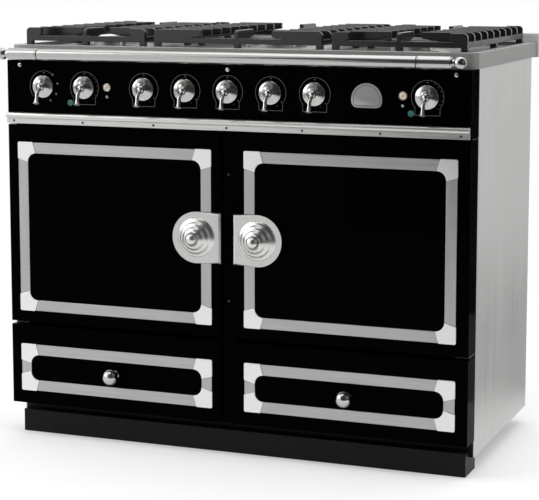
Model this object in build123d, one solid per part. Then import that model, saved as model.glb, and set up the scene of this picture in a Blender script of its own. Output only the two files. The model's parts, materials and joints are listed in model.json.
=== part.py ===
from build123d import *
import os
from math import atan2, cos, radians, sin

# Free-standing range cooker with two ovens, two drawers, five gas burners and eight control knobs.
# Millimetres, +Z up, front towards -Y. X = 0 is the middle, Z = 0 the floor, Y = 0 half of the depth.

# Casing
BODY_W = 1084.0
CASING_DEPTH = 540.0
SHEET = 2.0
FRONT_T = 58.0
SEAL_GAP = 3.0
FRONT_EDGE_R = 3.0
BASE_Z = 38.0
BASE_H = 36.0
FOOT_INSET_X = 62.0
FOOT_INSET_Y = 90.0
FOOT_R = 22.0
FOOT_PAD_H = 9.0
FOOT_STEM_R = 7.0
FOOT_NUT_R = 12.0
FOOT_NUT_H = 8.0
PLINTH_H = 52.0
PLINTH_LIFT = 1.0
PLINTH_INSET_X = 11.0
PLINTH_SETBACK = 33.0
PLINTH_RETURN = 79.0
VENT_COUNT = 9
VENT_W = 60.0
VENT_H = 6.0
VENT_PITCH = 18.0
VENT_BELOW_TOP = 60.0

# Stack of fronts, from the floor up
DRAWER_LIFT = 2.0
DRAWER_H = 184.0
DOOR_GAP = 8.0
DOOR_H = 455.0
PANEL_GAP = 3.0
PANEL_H = 143.0
STILE_W = 28.0
STILE_GAP = 3.0
STILE_SETBACK = 5.0
DECK_T = 2.5

# Worktop, upstand and front rail
WORKTOP_OVERHANG = 4.0
WORKTOP_SETBACK = 25.0
WORKTOP_H = 34.0
WORKTOP_SKIRT = 6.0
WORKTOP_CORNER_R = 22.0
WELL_RIM = 20.0
WELL_DEPTH = 8.0
WELL_CORNER_R = 14.0
RIM_EDGE_R = 1.5
UPSTAND_OVERHANG = 4.0
UPSTAND_T = 26.0
UPSTAND_DROP = 2.0
UPSTAND_RISE = 21.0
UPSTAND_EDGE_R = 3.0
TOP_OVERHANG = 63.0
RAIL_R = 13.0
RAIL_BORE_R = 11.0
RAIL_OUT = 43.0
RAIL_BELOW_TOP = 18.0
SLEEVE_R = 13.6
SLEEVE_LEN = 71.5
NECK_R = 8.0
NECK_LEN = 5.0
NECK_RING_R = 11.5
NECK_RING_LEN = 3.0
FINIAL_R = 13.5
FINIAL_INSET = 14.0
POST_R = 8.0

# Metal strips and corner pieces on doors and drawers
TRIM_INNER_MARGIN = 22.0
TRIM_OUTER_MARGIN = 27.0
DOOR_TRIM_BELOW = 27.5
DOOR_TRIM_ABOVE = 40.0
DRAWER_TRIM_BELOW = 32.0
DRAWER_TRIM_ABOVE = 44.0
STRIP_W = 24.5
STRIP_T = 2.5
CORNER_T = 3.5
CORNER_ARM = 37.0
CORNER_ARC_R = 20.0
CORNER_OUTSET = 1.0

# Door handle
HANDLE_H = 114.0
HANDLE_FLAT = 57.5
HANDLE_OVERHANG = 3.0
HANDLE_T = 6.5
HANDLE_EDGE_R = 5.5
HANDLE_WALL = 3.0
DOME_R = 44.0
DOME_TIERS = 3
DOME_TIER_H = 8.3
DOME_TIER_IN = 9.8
DOME_ROUND = 7.0
DOME_NOSE = 14.6
HANDLE_BOLT_R = 4.0

# Drawer knob
BALL_R = 17.5
BALL_OUT = 27.0
BALL_FOOT_R = 10.0
BALL_FOOT_H = 4.0
BALL_NECK_R = 6.5

# Drawer box and runners
BOX_INNER_MARGIN = 30.0
BOX_OUTER_MARGIN = 28.0
BOX_H = 140.0
BOX_BACK_GAP = 40.0
BOX_LIFT = 14.0
RUNNER_LEDGE = 18.0
RUNNER_GUIDE_H = 16.0
RUNNER_CLEAR = 0.3

# Door hinges
HINGE_EDGE = 10.0
HINGE_Y = 32.0
HINGE_PIN_R = 5.0
HINGE_PIN_CLEAR = 0.05
HINGE_BOSS_R = 9.0
HINGE_BOSS_H = 30.0
HINGE_PIN_LEN = 22.0
BRACKET_T = 5.0
BRACKET_W = 31.5
BRACKET_SIDE_CLEAR = 2.5
BRACKET_FRONT = 20.0
BRACKET_TAIL = 29.0

# Door inner pan
PAN_T = 3.0
PLUG_MARGIN = 14.0
PLUG_OUT = 8.0

# Ovens
OVEN_INNER_WALL = 45.0
OVEN_OUTER_WALL = 50.0
OVEN_H = 390.0
OVEN_BACK_ROOM = 70.0
OVEN_ABOVE_DECK = 38.5
OVEN_FLANGE_GAP = 0.5
INSULATION_BACK = 20.0
INSULATION_HEAD = 2.0
SEAL_W = 9.0
SEAL_T = 2.7
SEAL_MARGIN = 6.0
LEDGE_LEVELS = 4
LEDGE_FIRST = 70.0
LEDGE_PITCH = 75.0
LEDGE_W = 8.0
LEDGE_T = 3.0
RACK_LEVEL = 1
RACK_ROD_R = 3.0
RACK_WIRE_R = 1.8
RACK_WIRES = 15
RACK_SIDE_CLEAR = 2.0
RACK_END_CLEAR = 12.0
RACK_REST = 0.2
ELEMENT_R = 3.5
ELEMENT_INSET_X = 70.0
ELEMENT_INSET_Y = 60.0
ELEMENT_INSET_Z = 18.0
ELEMENT_BEND_R = 30.0
RING_R = 88.0
RING_OUT = 24.0
RING_LEG_DX = 12.0
RING_LEG_R = 2.8

# Convection fan
FAN_R = 68.0
FAN_DISC_T = 1.5
FAN_OUT = 14.0
FAN_BLADES = 10
FAN_BLADE_DEPTH = 16.0
FAN_BLADE_T = 1.5
FAN_BLADE_END = 2.0
FAN_HUB_R = 12.0
SHAFT_R = 4.0
SHAFT_CLEAR = 0.05
SHAFT_HOLE_R = 9.0
SHAFT_IN_MOTOR = 24.0
MOTOR_R = 34.0
MOTOR_LEN = 38.0
COVER_R = 112.0
COVER_T = 1.5
COVER_OUT = 52.0
COVER_LEG_R = 4.0
COVER_LEG_AT = 104.0
COVER_SLOTS = 24
COVER_SLOT_W = 6.0
COVER_SLOT_IN = 30.0
COVER_SLOT_OUT = 80.0

# Control panel
KNOB_Z = 85.0
TAP_COUNT = 5
TAP_PITCH = 100.0
OVEN_KNOB_INSET = 94.0
OVEN_KNOB_PITCH = 102.0
SPINDLE_HOLE_R = 7.0
SPINDLE_R = 4.0
SPINDLE_CLEAR = 0.05
SPINDLE_OUT = 15.0
KNOB_SETOFF = 1.0
KNOB_R = 25.5
KNOB_SKIRT = 5.0
KNOB_FLANK_H = 10.5
KNOB_NOSE_R = 9.0
KNOB_NOSE_H = 7.5
LEVER_START_OUT = 20.0
LEVER_START_DOWN = 2.0
LEVER_KNEE_OUT = 32.0
LEVER_KNEE_DOWN = 11.0
LEVER_END_OUT = 36.5
LEVER_END_DOWN = 38.0
LEVER_R = 4.4
LEVER_KNEE_R = 4.8
LEVER_WAIST_R = 3.9
LEVER_TIP_R = 8.2
LEVER_TIP_LEN = 12.0
LEVER_TIP_RIM = 2.5
BORE_END_GAP = 1.0
LEFT_LAMP_DX = 56.0
RIGHT_LAMP_DX = -53.0
LAMP_Z = 86.5
LAMP_R = 9.0
LAMP_OUT = 6.0
LAMP_NECK_R = 6.0
LAMP_BODY_LEN = 26.0
BADGE_DX = -132.0
BADGE_Z = 59.0
BADGE_W = 68.0
BADGE_H = 52.0
BADGE_T = 2.0
BADGE_RIM = 3.0
BADGE_RIM_T = 1.2
MOULDING_H = 25.0
MOULDING_END_INSET = 2.0
MOULDING_BAND_H = 12.0
MOULDING_BAND_T = 7.0
MOULDING_BEAD_OUT = 13.0
SCREW_R = 4.8
SCREW_H = 2.4
SMALL_SCREW_R = 2.8
SMALL_SCREW_H = 1.4
PANEL_SCREW_INSET = 33.0
PANEL_SCREW_DROP = 11.0
MOULDING_SCREWS = 7
MOULDING_SCREW_INSET = 20.0
MOULDING_SCREW_Z = 6.5
STILE_SCREW_ABOVE = 93.0
STILE_SCREW_BELOW = 82.0

# Burners and pan supports
BURNER_PITCH_Y = 250.0
BURNER_RS = (44.0, 34.0, 62.0, 34.0, 44.0)
BURNER_FLANGE = 5.0
BURNER_FLANGE_H = 3.0
BURNER_WAIST_IN = 7.0
BURNER_BASE_H = 15.0
BURNER_PORT_H = 3.0
CAP_T = 7.0
CAP_IN = 4.0
CAP_EDGE_R = 2.5
STUB_R = 9.0
STUB_LEN = 18.0
STUB_CLEAR = 0.1
MIDDLE_GRATE_W = 396.0
GRATE_GAP = 22.0
GRATE_MARGIN_X = 8.0
GRATE_MARGIN_Y = 5.0
GRATE_H = 46.0
GRATE_LIFT = 16.0
GRATE_RAIL_H = 12.0
GRATE_RAIL_W = 12.0
GRATE_REST = 0.2
FINGERS = 10
FINGER_END_GAP = 34.0
END_FINGER_LEN = 38.0
FINGER_W = 10.0
SPINE_LEN = 92.0
ARM_TIP = 14.0
ARM_SHOULDER_R = 9.0
GRATE_FOOT_W = 14.0

# Gas pipework, terminal box and oven controls
MANIFOLD_R = 9.0
MANIFOLD_Y = 70.0
MANIFOLD_END = 34.0
TAP_R = 13.0
TAP_FRONT = 0.3
FEED_R = 4.0
FEED_Y = 45.0
FEED_DROP = 30.0
FEED_BEND_R = 12.0
SUPPLY_INSET = 252.0
SUPPLY_CLEAR = 0.3
INLET_HEX_R = 15.0
INLET_HEX_LEN = 18.0
INLET_THREAD_R = 10.48
INLET_THREAD_LEN = 18.0
TERMINAL_INSET = 212.0
TERMINAL_Z = 320.0
TERMINAL_W = 120.0
TERMINAL_H = 80.0
TERMINAL_D = 38.0
GLAND_R = 13.0
GLAND_TIP_R = 10.0
GLAND_LEN = 22.0
GLAND_BORE_R = 5.0
CONTROL_BOX_W = 44.0
CONTROL_BOX_H = 48.0
CONTROL_BOX_D = 36.0

# Levels and planes worked out from the sizes above
HALF_W = BODY_W / 2
TOP_DEPTH = CASING_DEPTH + TOP_OVERHANG
FACE_Y = (RAIL_OUT + FINIAL_R - TOP_DEPTH) / 2
FRONT_BACK_Y = FACE_Y + FRONT_T
CASING_Y = FRONT_BACK_Y + SEAL_GAP
CASING_BACK_Y = FACE_Y + CASING_DEPTH
BACK_SHEET_Y = CASING_BACK_Y - SHEET
INSIDE_X = HALF_W - SHEET
BASE_TOP = BASE_Z + BASE_H
DRAWER_Z0 = BASE_TOP + DRAWER_LIFT
DRAWER_Z1 = DRAWER_Z0 + DRAWER_H
DOOR_Z0 = DRAWER_Z1 + DOOR_GAP
DOOR_Z1 = DOOR_Z0 + DOOR_H
PANEL_Z0 = DOOR_Z1 + PANEL_GAP
PANEL_Z1 = PANEL_Z0 + PANEL_H
TOP_Z = PANEL_Z1 + WORKTOP_H
WELL_Z = TOP_Z - WELL_DEPTH
WELL_X = HALF_W + WORKTOP_OVERHANG - WELL_RIM
WELL_Y0 = FACE_Y + WORKTOP_SETBACK + WELL_RIM
FRONT_IN_X = STILE_W / 2 + STILE_GAP
DECK_Z1 = DOOR_Z0 - (DOOR_GAP + BRACKET_T) / 2
DECK_Z0 = DECK_Z1 - DECK_T
TRIM_X0 = FRONT_IN_X + TRIM_INNER_MARGIN
TRIM_X1 = HALF_W - TRIM_OUTER_MARGIN
KNOB_AXIS_Z = PANEL_Z0 + KNOB_Z
HINGE_X = HALF_W - HINGE_EDGE
HINGE_AXIS_Y = FACE_Y + HINGE_Y
OVEN_X0 = FRONT_IN_X + OVEN_INNER_WALL
OVEN_X1 = HALF_W - OVEN_OUTER_WALL
OVEN_CENTRE_X = (OVEN_X0 + OVEN_X1) / 2
OVEN_Z0 = DECK_Z1 + OVEN_ABOVE_DECK
OVEN_Z1 = OVEN_Z0 + OVEN_H
OVEN_BACK_Y = CASING_BACK_Y - OVEN_BACK_ROOM
INSULATION_Y = OVEN_BACK_Y + SHEET + INSULATION_BACK
FAN_Z = (OVEN_Z0 + OVEN_Z1) / 2
UPSTAND_Y0 = FACE_Y + TOP_DEPTH - UPSTAND_T
UPSTAND_Y1 = FACE_Y + TOP_DEPTH
WELL_Y1 = UPSTAND_Y0 - WELL_RIM
RAIL_Y = FACE_Y - RAIL_OUT
RAIL_Z = TOP_Z - RAIL_BELOW_TOP
FINIAL_X = HALF_W - FINIAL_INSET
BOX_BACK_Y = BACK_SHEET_Y - BOX_BACK_GAP
MANIFOLD_AXIS_Y = FACE_Y + MANIFOLD_Y
SUPPLY_X = HALF_W - SUPPLY_INSET
TERMINAL_X = TERMINAL_INSET - HALF_W
TAP_XS = [TAP_PITCH * (i - (TAP_COUNT - 1) / 2) for i in range(TAP_COUNT)]
SELECTOR_X = OVEN_KNOB_INSET - HALF_W
LEFT_THERMOSTAT_X = SELECTOR_X + OVEN_KNOB_PITCH
RIGHT_THERMOSTAT_X = HALF_W - OVEN_KNOB_INSET
OVEN_KNOB_XS = {
    "oven_selector_knob": SELECTOR_X,
    "left_thermostat_knob": LEFT_THERMOSTAT_X,
    "right_thermostat_knob": RIGHT_THERMOSTAT_X,
}
LAMP_XS = (LEFT_THERMOSTAT_X + LEFT_LAMP_DX, RIGHT_THERMOSTAT_X + RIGHT_LAMP_DX)
BADGE_X = RIGHT_THERMOSTAT_X + BADGE_DX
PANEL_SCREW_X = HALF_W - PANEL_SCREW_INSET
MOULDING_SCREW_X = HALF_W - MOULDING_SCREW_INSET
SIDE_GRATE_X0 = MIDDLE_GRATE_W / 2 + GRATE_GAP
SIDE_GRATE_X1 = WELL_X - GRATE_MARGIN_X
FINGER_LEN = (SIDE_GRATE_X1 - SIDE_GRATE_X0) / 2 - FINGER_END_GAP
SIDE_BURNER_X = (SIDE_GRATE_X0 + SIDE_GRATE_X1) / 2
MIDDLE_BURNER_Y = (WELL_Y0 + WELL_Y1) / 2
FRONT_BURNER_Y = MIDDLE_BURNER_Y - BURNER_PITCH_Y / 2
REAR_BURNER_Y = MIDDLE_BURNER_Y + BURNER_PITCH_Y / 2
BURNERS = [
    (-SIDE_BURNER_X, FRONT_BURNER_Y),
    (-SIDE_BURNER_X, REAR_BURNER_Y),
    (0.0, MIDDLE_BURNER_Y),
    (SIDE_BURNER_X, REAR_BURNER_Y),
    (SIDE_BURNER_X, FRONT_BURNER_Y),
]
FRONT = Plane(origin=(0, FACE_Y, 0), x_dir=(1, 0, 0), z_dir=(0, -1, 0))


def block(x0, x1, y0, y1, z0, z1):
    """A box between two opposite corners."""
    return Pos((x0 + x1) / 2, (y0 + y1) / 2, (z0 + z1) / 2) * Box(x1 - x0, y1 - y0, z1 - z0)


def rod_x(x0, x1, y, z, r):
    """A round bar along X."""
    return Pos((x0 + x1) / 2, y, z) * Rot(0, 90, 0) * Cylinder(r, x1 - x0)


def rod_y(x, y0, y1, z, r):
    """A round bar along Y."""
    return Pos(x, (y0 + y1) / 2, z) * Rot(90, 0, 0) * Cylinder(r, y1 - y0)


def rod_z(x, y, z0, z1, r):
    """A round bar along Z."""
    return Pos(x, y, (z0 + z1) / 2) * Cylinder(r, z1 - z0)


def outline(start, *moves):
    """A closed face. A move is an end point, or a middle and an end point for an arc."""
    edges = []
    here = start
    for move in moves:
        if isinstance(move[0], tuple):
            edges.append(ThreePointArc(here, move[0], move[1]))
            here = move[1]
        else:
            edges.append(Line(here, move))
            here = move
    edges.append(Line(here, start))
    return make_face(edges)


def cap(r, z, h):
    """The arc of a round cap of height h that closes on the axis, from radius r at level z."""
    ball_r = (r * r + h * h) / (2 * h)
    half = atan2(r, ball_r - h) / 2
    return (ball_r * sin(half), z + ball_r * cos(half) - (ball_r - h)), (0, z + h)


def flare(r, z, out, length):
    """The arc of a trumpet that leaves radius r along the axis and opens by out over length."""
    bend_r = (out * out + length * length) / (2 * out)
    half = atan2(length, bend_r - out) / 2
    return (r + bend_r * (1 - cos(half)), z + bend_r * sin(half)), (r + out, z + length)


def turned(x, y, z, face):
    """A solid turned about an axis towards the front. The face holds radius and reach from y."""
    plane = Plane(origin=(x, y, z), x_dir=(1, 0, 0), z_dir=(0, 0, -1))
    return revolve(plane * face, axis=Axis((x, y, z), (0, -1, 0)))


def tube(points, radius, bend):
    """A solid tube along a route of straight runs with rounded bends."""
    path = FilletPolyline(*points, radius=bend)
    return sweep(Plane(origin=path @ 0, z_dir=path % 0) * Circle(radius), path=path)


def left_of(piece):
    """The mirror image of a right-hand piece."""
    return mirror(piece, about=Plane.YZ)


def save(name, *pieces):
    """Write one node, which may hold several solids."""
    solids = [solid for piece in pieces for solid in piece.solids()]
    export_step(Compound(solids), f"parts/{name}.step")


# Casing: feet, plinth, base, sides, back and the deck between drawers and ovens

def levelling_feet():
    feet = []
    for side in (-1, 1):
        for y in (CASING_Y + FOOT_INSET_Y, CASING_BACK_Y - FOOT_INSET_Y):
            x = side * (HALF_W - FOOT_INSET_X)
            foot = rod_z(x, y, 0, FOOT_PAD_H, FOOT_R) + rod_z(x, y, 0, BASE_Z, FOOT_STEM_R)
            nut = extrude(Pos(x, y, BASE_Z - FOOT_NUT_H) * RegularPolygon(FOOT_NUT_R, 6), FOOT_NUT_H)
            feet.append(foot + nut)
    return feet


def plinth():
    x = HALF_W - PLINTH_INSET_X
    y0 = FACE_Y + PLINTH_SETBACK
    board = block(-x, x, y0, y0 + SHEET, PLINTH_LIFT, PLINTH_H)
    shelf = block(-x, x, y0, CASING_Y, PLINTH_H - SHEET, PLINTH_H)
    ends = [
        block(side - SHEET / 2, side + SHEET / 2, y0, y1, PLINTH_LIFT, z1)
        for side in (-x + SHEET / 2, x - SHEET / 2)
        for y1, z1 in ((CASING_Y, PLINTH_H), (y0 + PLINTH_RETURN, BASE_Z))
    ]
    return board + shelf + ends


def base_tray():
    tray = block(-INSIDE_X, INSIDE_X, CASING_Y, BACK_SHEET_Y, BASE_Z, BASE_TOP)
    return tray - block(
        SHEET - INSIDE_X, INSIDE_X - SHEET, CASING_Y + SHEET, BACK_SHEET_Y - SHEET, BASE_Z + SHEET, BASE_TOP
    )


def side_panel():
    return block(INSIDE_X, HALF_W, CASING_Y, CASING_BACK_Y, BASE_Z, PANEL_Z1)


def back_panel():
    y0, y1 = BACK_SHEET_Y, CASING_BACK_Y
    sheet = block(-INSIDE_X, INSIDE_X, y0, y1, BASE_Z, PANEL_Z1)
    half = VENT_W / 2
    for side in (-1, 1):
        x = side * (OVEN_CENTRE_X + VENT_W)
        for i in range(VENT_COUNT):
            z = PANEL_Z1 - VENT_BELOW_TOP - i * VENT_PITCH
            for slot_x in (x - VENT_W, x + VENT_W):
                sheet -= block(slot_x - half, slot_x + half, y0, y1, z, z + VENT_H)
    return sheet - rod_y(SUPPLY_X, y0, y1, KNOB_AXIS_Z, MANIFOLD_R + SUPPLY_CLEAR)


def centre_stile():
    half = STILE_W / 2
    y0 = FACE_Y + STILE_SETBACK
    bar = block(-half, half, y0, CASING_Y, DRAWER_Z0, PANEL_Z0)
    return bar - block(SHEET - half, half - SHEET, y0 + SHEET, CASING_Y, DRAWER_Z0 + SHEET, PANEL_Z0 - SHEET)


def drawer_deck():
    return block(-INSIDE_X, INSIDE_X, CASING_Y, BACK_SHEET_Y, DECK_Z0, DECK_Z1)


# Worktop, upstand and front rail

def worktop():
    x = HALF_W + WORKTOP_OVERHANG
    y0 = FACE_Y + WORKTOP_SETBACK
    top = block(-x, x, y0, UPSTAND_Y0, PANEL_Z1, TOP_Z)
    front_corners = top.edges().filter_by(Axis.Z).group_by(Axis.Y)[0]
    top = fillet(front_corners, WORKTOP_CORNER_R)
    rim = top.faces().sort_by(Axis.Z)[-1].edges().sort_by(Axis.Y)[:-1]
    top = fillet(rim, RIM_EDGE_R)
    well = block(-WELL_X, WELL_X, WELL_Y0, WELL_Y1, WELL_Z, TOP_Z)
    top -= fillet(well.edges().filter_by(Axis.Z), WELL_CORNER_R)
    skirt = WORKTOP_SKIRT
    under = block(skirt - x, x - skirt, y0 + skirt, UPSTAND_Y0 - skirt, PANEL_Z1, WELL_Z - SHEET)
    top -= fillet(under.edges().filter_by(Axis.Z), WORKTOP_CORNER_R - skirt)
    for bx, by in BURNERS:
        top -= rod_z(bx, by, PANEL_Z1, TOP_Z, STUB_R + STUB_CLEAR)
    return top


def rear_upstand():
    x = HALF_W + WORKTOP_OVERHANG + UPSTAND_OVERHANG
    bar = block(-x, x, UPSTAND_Y0, UPSTAND_Y1, PANEL_Z1 - UPSTAND_DROP, TOP_Z + UPSTAND_RISE)
    bar = fillet(bar.faces().sort_by(Axis.Z)[-1].edges(), UPSTAND_EDGE_R)
    core = block(
        SHEET - x, x - SHEET, UPSTAND_Y0 + SHEET, UPSTAND_Y1 - SHEET,
        PANEL_Z1 - UPSTAND_DROP, TOP_Z + UPSTAND_RISE - UPSTAND_EDGE_R,
    )
    return bar - core


def sleeve_end_x():
    """Where the outer end of a rail sleeve meets the neck of its ball."""
    return FINIAL_X - FINIAL_R - NECK_LEN


def front_rail():
    x = sleeve_end_x() - SLEEVE_LEN
    return rod_x(-x, x, RAIL_Y, RAIL_Z, RAIL_R) - rod_x(-x, x, RAIL_Y, RAIL_Z, RAIL_BORE_R)


def rail_end():
    x1 = sleeve_end_x()
    x0 = x1 - SLEEVE_LEN
    sleeve = rod_x(x0, x1, RAIL_Y, RAIL_Z, SLEEVE_R)
    ring = rod_x(x1, x1 + NECK_RING_LEN, RAIL_Y, RAIL_Z, NECK_RING_R)
    neck = rod_x(x1, FINIAL_X, RAIL_Y, RAIL_Z, NECK_R)
    ball = Pos(FINIAL_X, RAIL_Y, RAIL_Z) * Sphere(FINIAL_R)
    post = rod_y((x0 + x1) / 2, RAIL_Y, FACE_Y + WORKTOP_SETBACK, RAIL_Z, POST_R)
    return sleeve + ring + neck + ball + post


# Control panel with its moulding, screws, lamps and badge plate

def control_panel():
    box = block(-HALF_W, HALF_W, FACE_Y, CASING_Y, PANEL_Z0, PANEL_Z1)
    box = fillet(box.faces().sort_by(Axis.Y)[0].edges(), FRONT_EDGE_R)
    box -= block(-INSIDE_X, INSIDE_X, FACE_Y + SHEET, CASING_Y, PANEL_Z0 + SHEET, PANEL_Z1 - SHEET)
    for x in [*TAP_XS, *OVEN_KNOB_XS.values()]:
        box -= rod_y(x, FACE_Y, FACE_Y + SHEET, KNOB_AXIS_Z, SPINDLE_HOLE_R)
    for x in LAMP_XS:
        box -= rod_y(x, FACE_Y, FACE_Y + SHEET, PANEL_Z0 + LAMP_Z, LAMP_NECK_R)
    for x in (-HINGE_X, HINGE_X):
        box -= rod_z(x, HINGE_AXIS_Y, PANEL_Z0, PANEL_Z0 + SHEET, HINGE_PIN_R)
    return box


def trim_moulding():
    x = HALF_W - MOULDING_END_INSET
    bead_z = PANEL_Z0 + MOULDING_BAND_H
    top_z = PANEL_Z0 + MOULDING_H
    section = outline(
        (0, PANEL_Z0), (MOULDING_BAND_T, PANEL_Z0), (MOULDING_BAND_T, bead_z),
        ((MOULDING_BEAD_OUT, (bead_z + top_z) / 2), (MOULDING_BAND_T, top_z)), (0, top_z),
    )
    plane = Plane(origin=(-x, FACE_Y, 0), x_dir=(0, -1, 0), z_dir=(-1, 0, 0))
    return extrude(plane * section, -2 * x)


def screw(x, y, z, r, h):
    """A domed screw head on a surface that faces the front."""
    return turned(x, y, z, outline((0, 0), (r, 0), cap(r, 0, h)))


def front_screws():
    top_z = PANEL_Z1 - PANEL_SCREW_DROP
    screws = [screw(x, FACE_Y, top_z, SCREW_R, SCREW_H) for x in (-PANEL_SCREW_X, 0, PANEL_SCREW_X)]
    for i in range(MOULDING_SCREWS):
        x = MOULDING_SCREW_X * (2 * i / (MOULDING_SCREWS - 1) - 1)
        y = FACE_Y - MOULDING_BAND_T
        screws.append(screw(x, y, PANEL_Z0 + MOULDING_SCREW_Z, SMALL_SCREW_R, SMALL_SCREW_H))
    for z in (DOOR_Z1 - STILE_SCREW_ABOVE, DOOR_Z0 + STILE_SCREW_BELOW):
        screws.append(screw(0, FACE_Y + STILE_SETBACK, z, SMALL_SCREW_R, SMALL_SCREW_H))
    return screws


def indicator_lamps():
    lamps = []
    for x in LAMP_XS:
        z = PANEL_Z0 + LAMP_Z
        lens = outline((0, 0), (LAMP_R, 0), cap(LAMP_R, 0, LAMP_OUT))
        lamps.append(turned(x, FACE_Y, z, lens) + rod_y(x, FACE_Y, FACE_Y + LAMP_BODY_LEN, z, LAMP_NECK_R))
    return lamps


def badge_face(inset):
    """Half-round plate with straight sides, drawn in by inset."""
    half = BADGE_W / 2 - inset
    z0 = PANEL_Z0 + BADGE_Z + inset
    z1 = PANEL_Z0 + BADGE_Z + BADGE_H - inset
    shoulder = PANEL_Z0 + BADGE_Z + BADGE_H - BADGE_W / 2
    return Pos(BADGE_X, 0) * outline((-half, z0), (half, z0), (half, shoulder), ((0, z1), (-half, shoulder)))


def badge_plate():
    plate = extrude(FRONT * badge_face(0), BADGE_T)
    rim = extrude(FRONT * (badge_face(0) - badge_face(BADGE_RIM)), BADGE_T + BADGE_RIM_T)
    return plate + rim


# Doors

def front_shell(z0, z1):
    """A pressed front, open at the back, with rounded front edges."""
    shell = block(FRONT_IN_X, HALF_W, FACE_Y, FRONT_BACK_Y, z0, z1)
    shell = fillet(shell.faces().sort_by(Axis.Y)[0].edges(), FRONT_EDGE_R)
    return shell - block(
        FRONT_IN_X + SHEET, INSIDE_X, FACE_Y + SHEET, FRONT_BACK_Y, z0 + SHEET, z1 - SHEET
    )


def door_panel():
    panel = front_shell(DOOR_Z0, DOOR_Z1)
    for z0, z1 in ((DOOR_Z0, DOOR_Z0 + HINGE_BOSS_H), (DOOR_Z1 - HINGE_BOSS_H, DOOR_Z1)):
        panel += rod_z(HINGE_X, HINGE_AXIS_Y, z0, z1, HINGE_BOSS_R)
    bore = HINGE_PIN_LEN + BORE_END_GAP
    for z0, z1 in ((DOOR_Z0, DOOR_Z0 + bore), (DOOR_Z1 - bore, DOOR_Z1)):
        panel -= rod_z(HINGE_X, HINGE_AXIS_Y, z0, z1, HINGE_PIN_R + HINGE_PIN_CLEAR)
    return panel


def door_liner():
    pan = block(
        FRONT_IN_X + SHEET, INSIDE_X, FRONT_BACK_Y - PAN_T, FRONT_BACK_Y, DOOR_Z0 + SHEET, DOOR_Z1 - SHEET
    )
    plug = block(
        OVEN_X0 + PLUG_MARGIN, OVEN_X1 - PLUG_MARGIN, FRONT_BACK_Y, FRONT_BACK_Y + PLUG_OUT,
        OVEN_Z0 + PLUG_MARGIN, OVEN_Z1 - PLUG_MARGIN,
    )
    hollow = block(
        OVEN_X0 + PLUG_MARGIN + PAN_T, OVEN_X1 - PLUG_MARGIN - PAN_T,
        FRONT_BACK_Y - PAN_T, FRONT_BACK_Y + PLUG_OUT - PAN_T,
        OVEN_Z0 + PLUG_MARGIN + PAN_T, OVEN_Z1 - PLUG_MARGIN - PAN_T,
    )
    return pan + plug - hollow


def corner_face(x, z, dx, dz):
    """One corner piece with slanted ends and a scooped inner corner, growing towards dx and dz."""
    out = -CORNER_OUTSET
    inner = STRIP_W + CORNER_ARC_R
    scoop = inner - CORNER_ARC_R * cos(radians(45))

    def at(a, b):
        return (x + dx * a, z + dz * b)

    return outline(
        at(out, out), at(CORNER_ARM, out), at(inner, STRIP_W),
        (at(scoop, scoop), at(STRIP_W, inner)), at(out, CORNER_ARM),
    )


def trim_frame(z0, z1):
    """Four strips between four corner pieces, as separate solids."""
    inner = STRIP_W + CORNER_ARC_R
    slant = (inner - CORNER_ARM) * CORNER_OUTSET / (STRIP_W + CORNER_OUTSET)
    arm = CORNER_ARM + slant
    pieces = []
    for x, dx in ((TRIM_X0, 1), (TRIM_X1, -1)):
        for z, dz in ((z0, 1), (z1, -1)):
            pieces.append(extrude(FRONT * corner_face(x, z, dx, dz), CORNER_T))
    for z, dz in ((z0, 1), (z1, -1)):
        strip = outline(
            (TRIM_X0 + arm, z), (TRIM_X1 - arm, z), (TRIM_X1 - inner, z + dz * STRIP_W),
            (TRIM_X0 + inner, z + dz * STRIP_W),
        )
        pieces.append(extrude(FRONT * strip, STRIP_T))
    for x, dx in ((TRIM_X0, 1), (TRIM_X1, -1)):
        strip = outline(
            (x, z0 + arm), (x, z1 - arm), (x + dx * STRIP_W, z1 - inner), (x + dx * STRIP_W, z0 + inner)
        )
        pieces.append(extrude(FRONT * strip, STRIP_T))
    return pieces


def door_trim():
    return trim_frame(DOOR_Z0 + DOOR_TRIM_BELOW, DOOR_Z1 - DOOR_TRIM_ABOVE)


def handle_face(inset):
    """D-shaped outline: flat towards the middle of the cooker, round away from it."""
    x0 = FRONT_IN_X - HANDLE_OVERHANG
    x1 = x0 + HANDLE_FLAT
    half = HANDLE_H / 2 - inset
    return outline((x0 + inset, -half), (x1, -half), ((x1 + half, 0), (x1, half)), (x0 + inset, half))


def handle_dome():
    """Stepped, rounded tiers that rise to a nose, as radius and reach from the plate."""
    moves = [(DOME_R, 0)]
    r = DOME_R
    reach = 0
    for _ in range(DOME_TIERS):
        mid = (r - DOME_ROUND * (1 - cos(radians(45))), reach + DOME_TIER_H * sin(radians(45)))
        moves.append((mid, (r - DOME_ROUND, reach + DOME_TIER_H)))
        moves.append((r - DOME_TIER_IN, reach + DOME_TIER_H))
        r -= DOME_TIER_IN
        reach += DOME_TIER_H
    return outline((0, 0), *moves, cap(r, reach, DOME_NOSE))


def door_handle():
    z = (DOOR_Z0 + DOOR_TRIM_BELOW + DOOR_Z1 - DOOR_TRIM_ABOVE) / 2
    x = FRONT_IN_X - HANDLE_OVERHANG + HANDLE_FLAT
    seat = Plane(origin=(0, FACE_Y - STRIP_T, z), x_dir=(1, 0, 0), z_dir=(0, -1, 0))
    plate = extrude(seat * handle_face(0), HANDLE_T)
    plate = fillet(plate.faces().sort_by(Axis.Y)[0].edges(), HANDLE_EDGE_R)
    plate -= extrude(seat * handle_face(HANDLE_EDGE_R), HANDLE_T - HANDLE_WALL)
    front_y = FACE_Y - STRIP_T - HANDLE_T
    plate += rod_y(x, front_y, FACE_Y, z, HANDLE_BOLT_R)
    return plate + turned(x, front_y, z, handle_dome())


# Drawers

def drawer_front():
    return front_shell(DRAWER_Z0, DRAWER_Z1)


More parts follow.
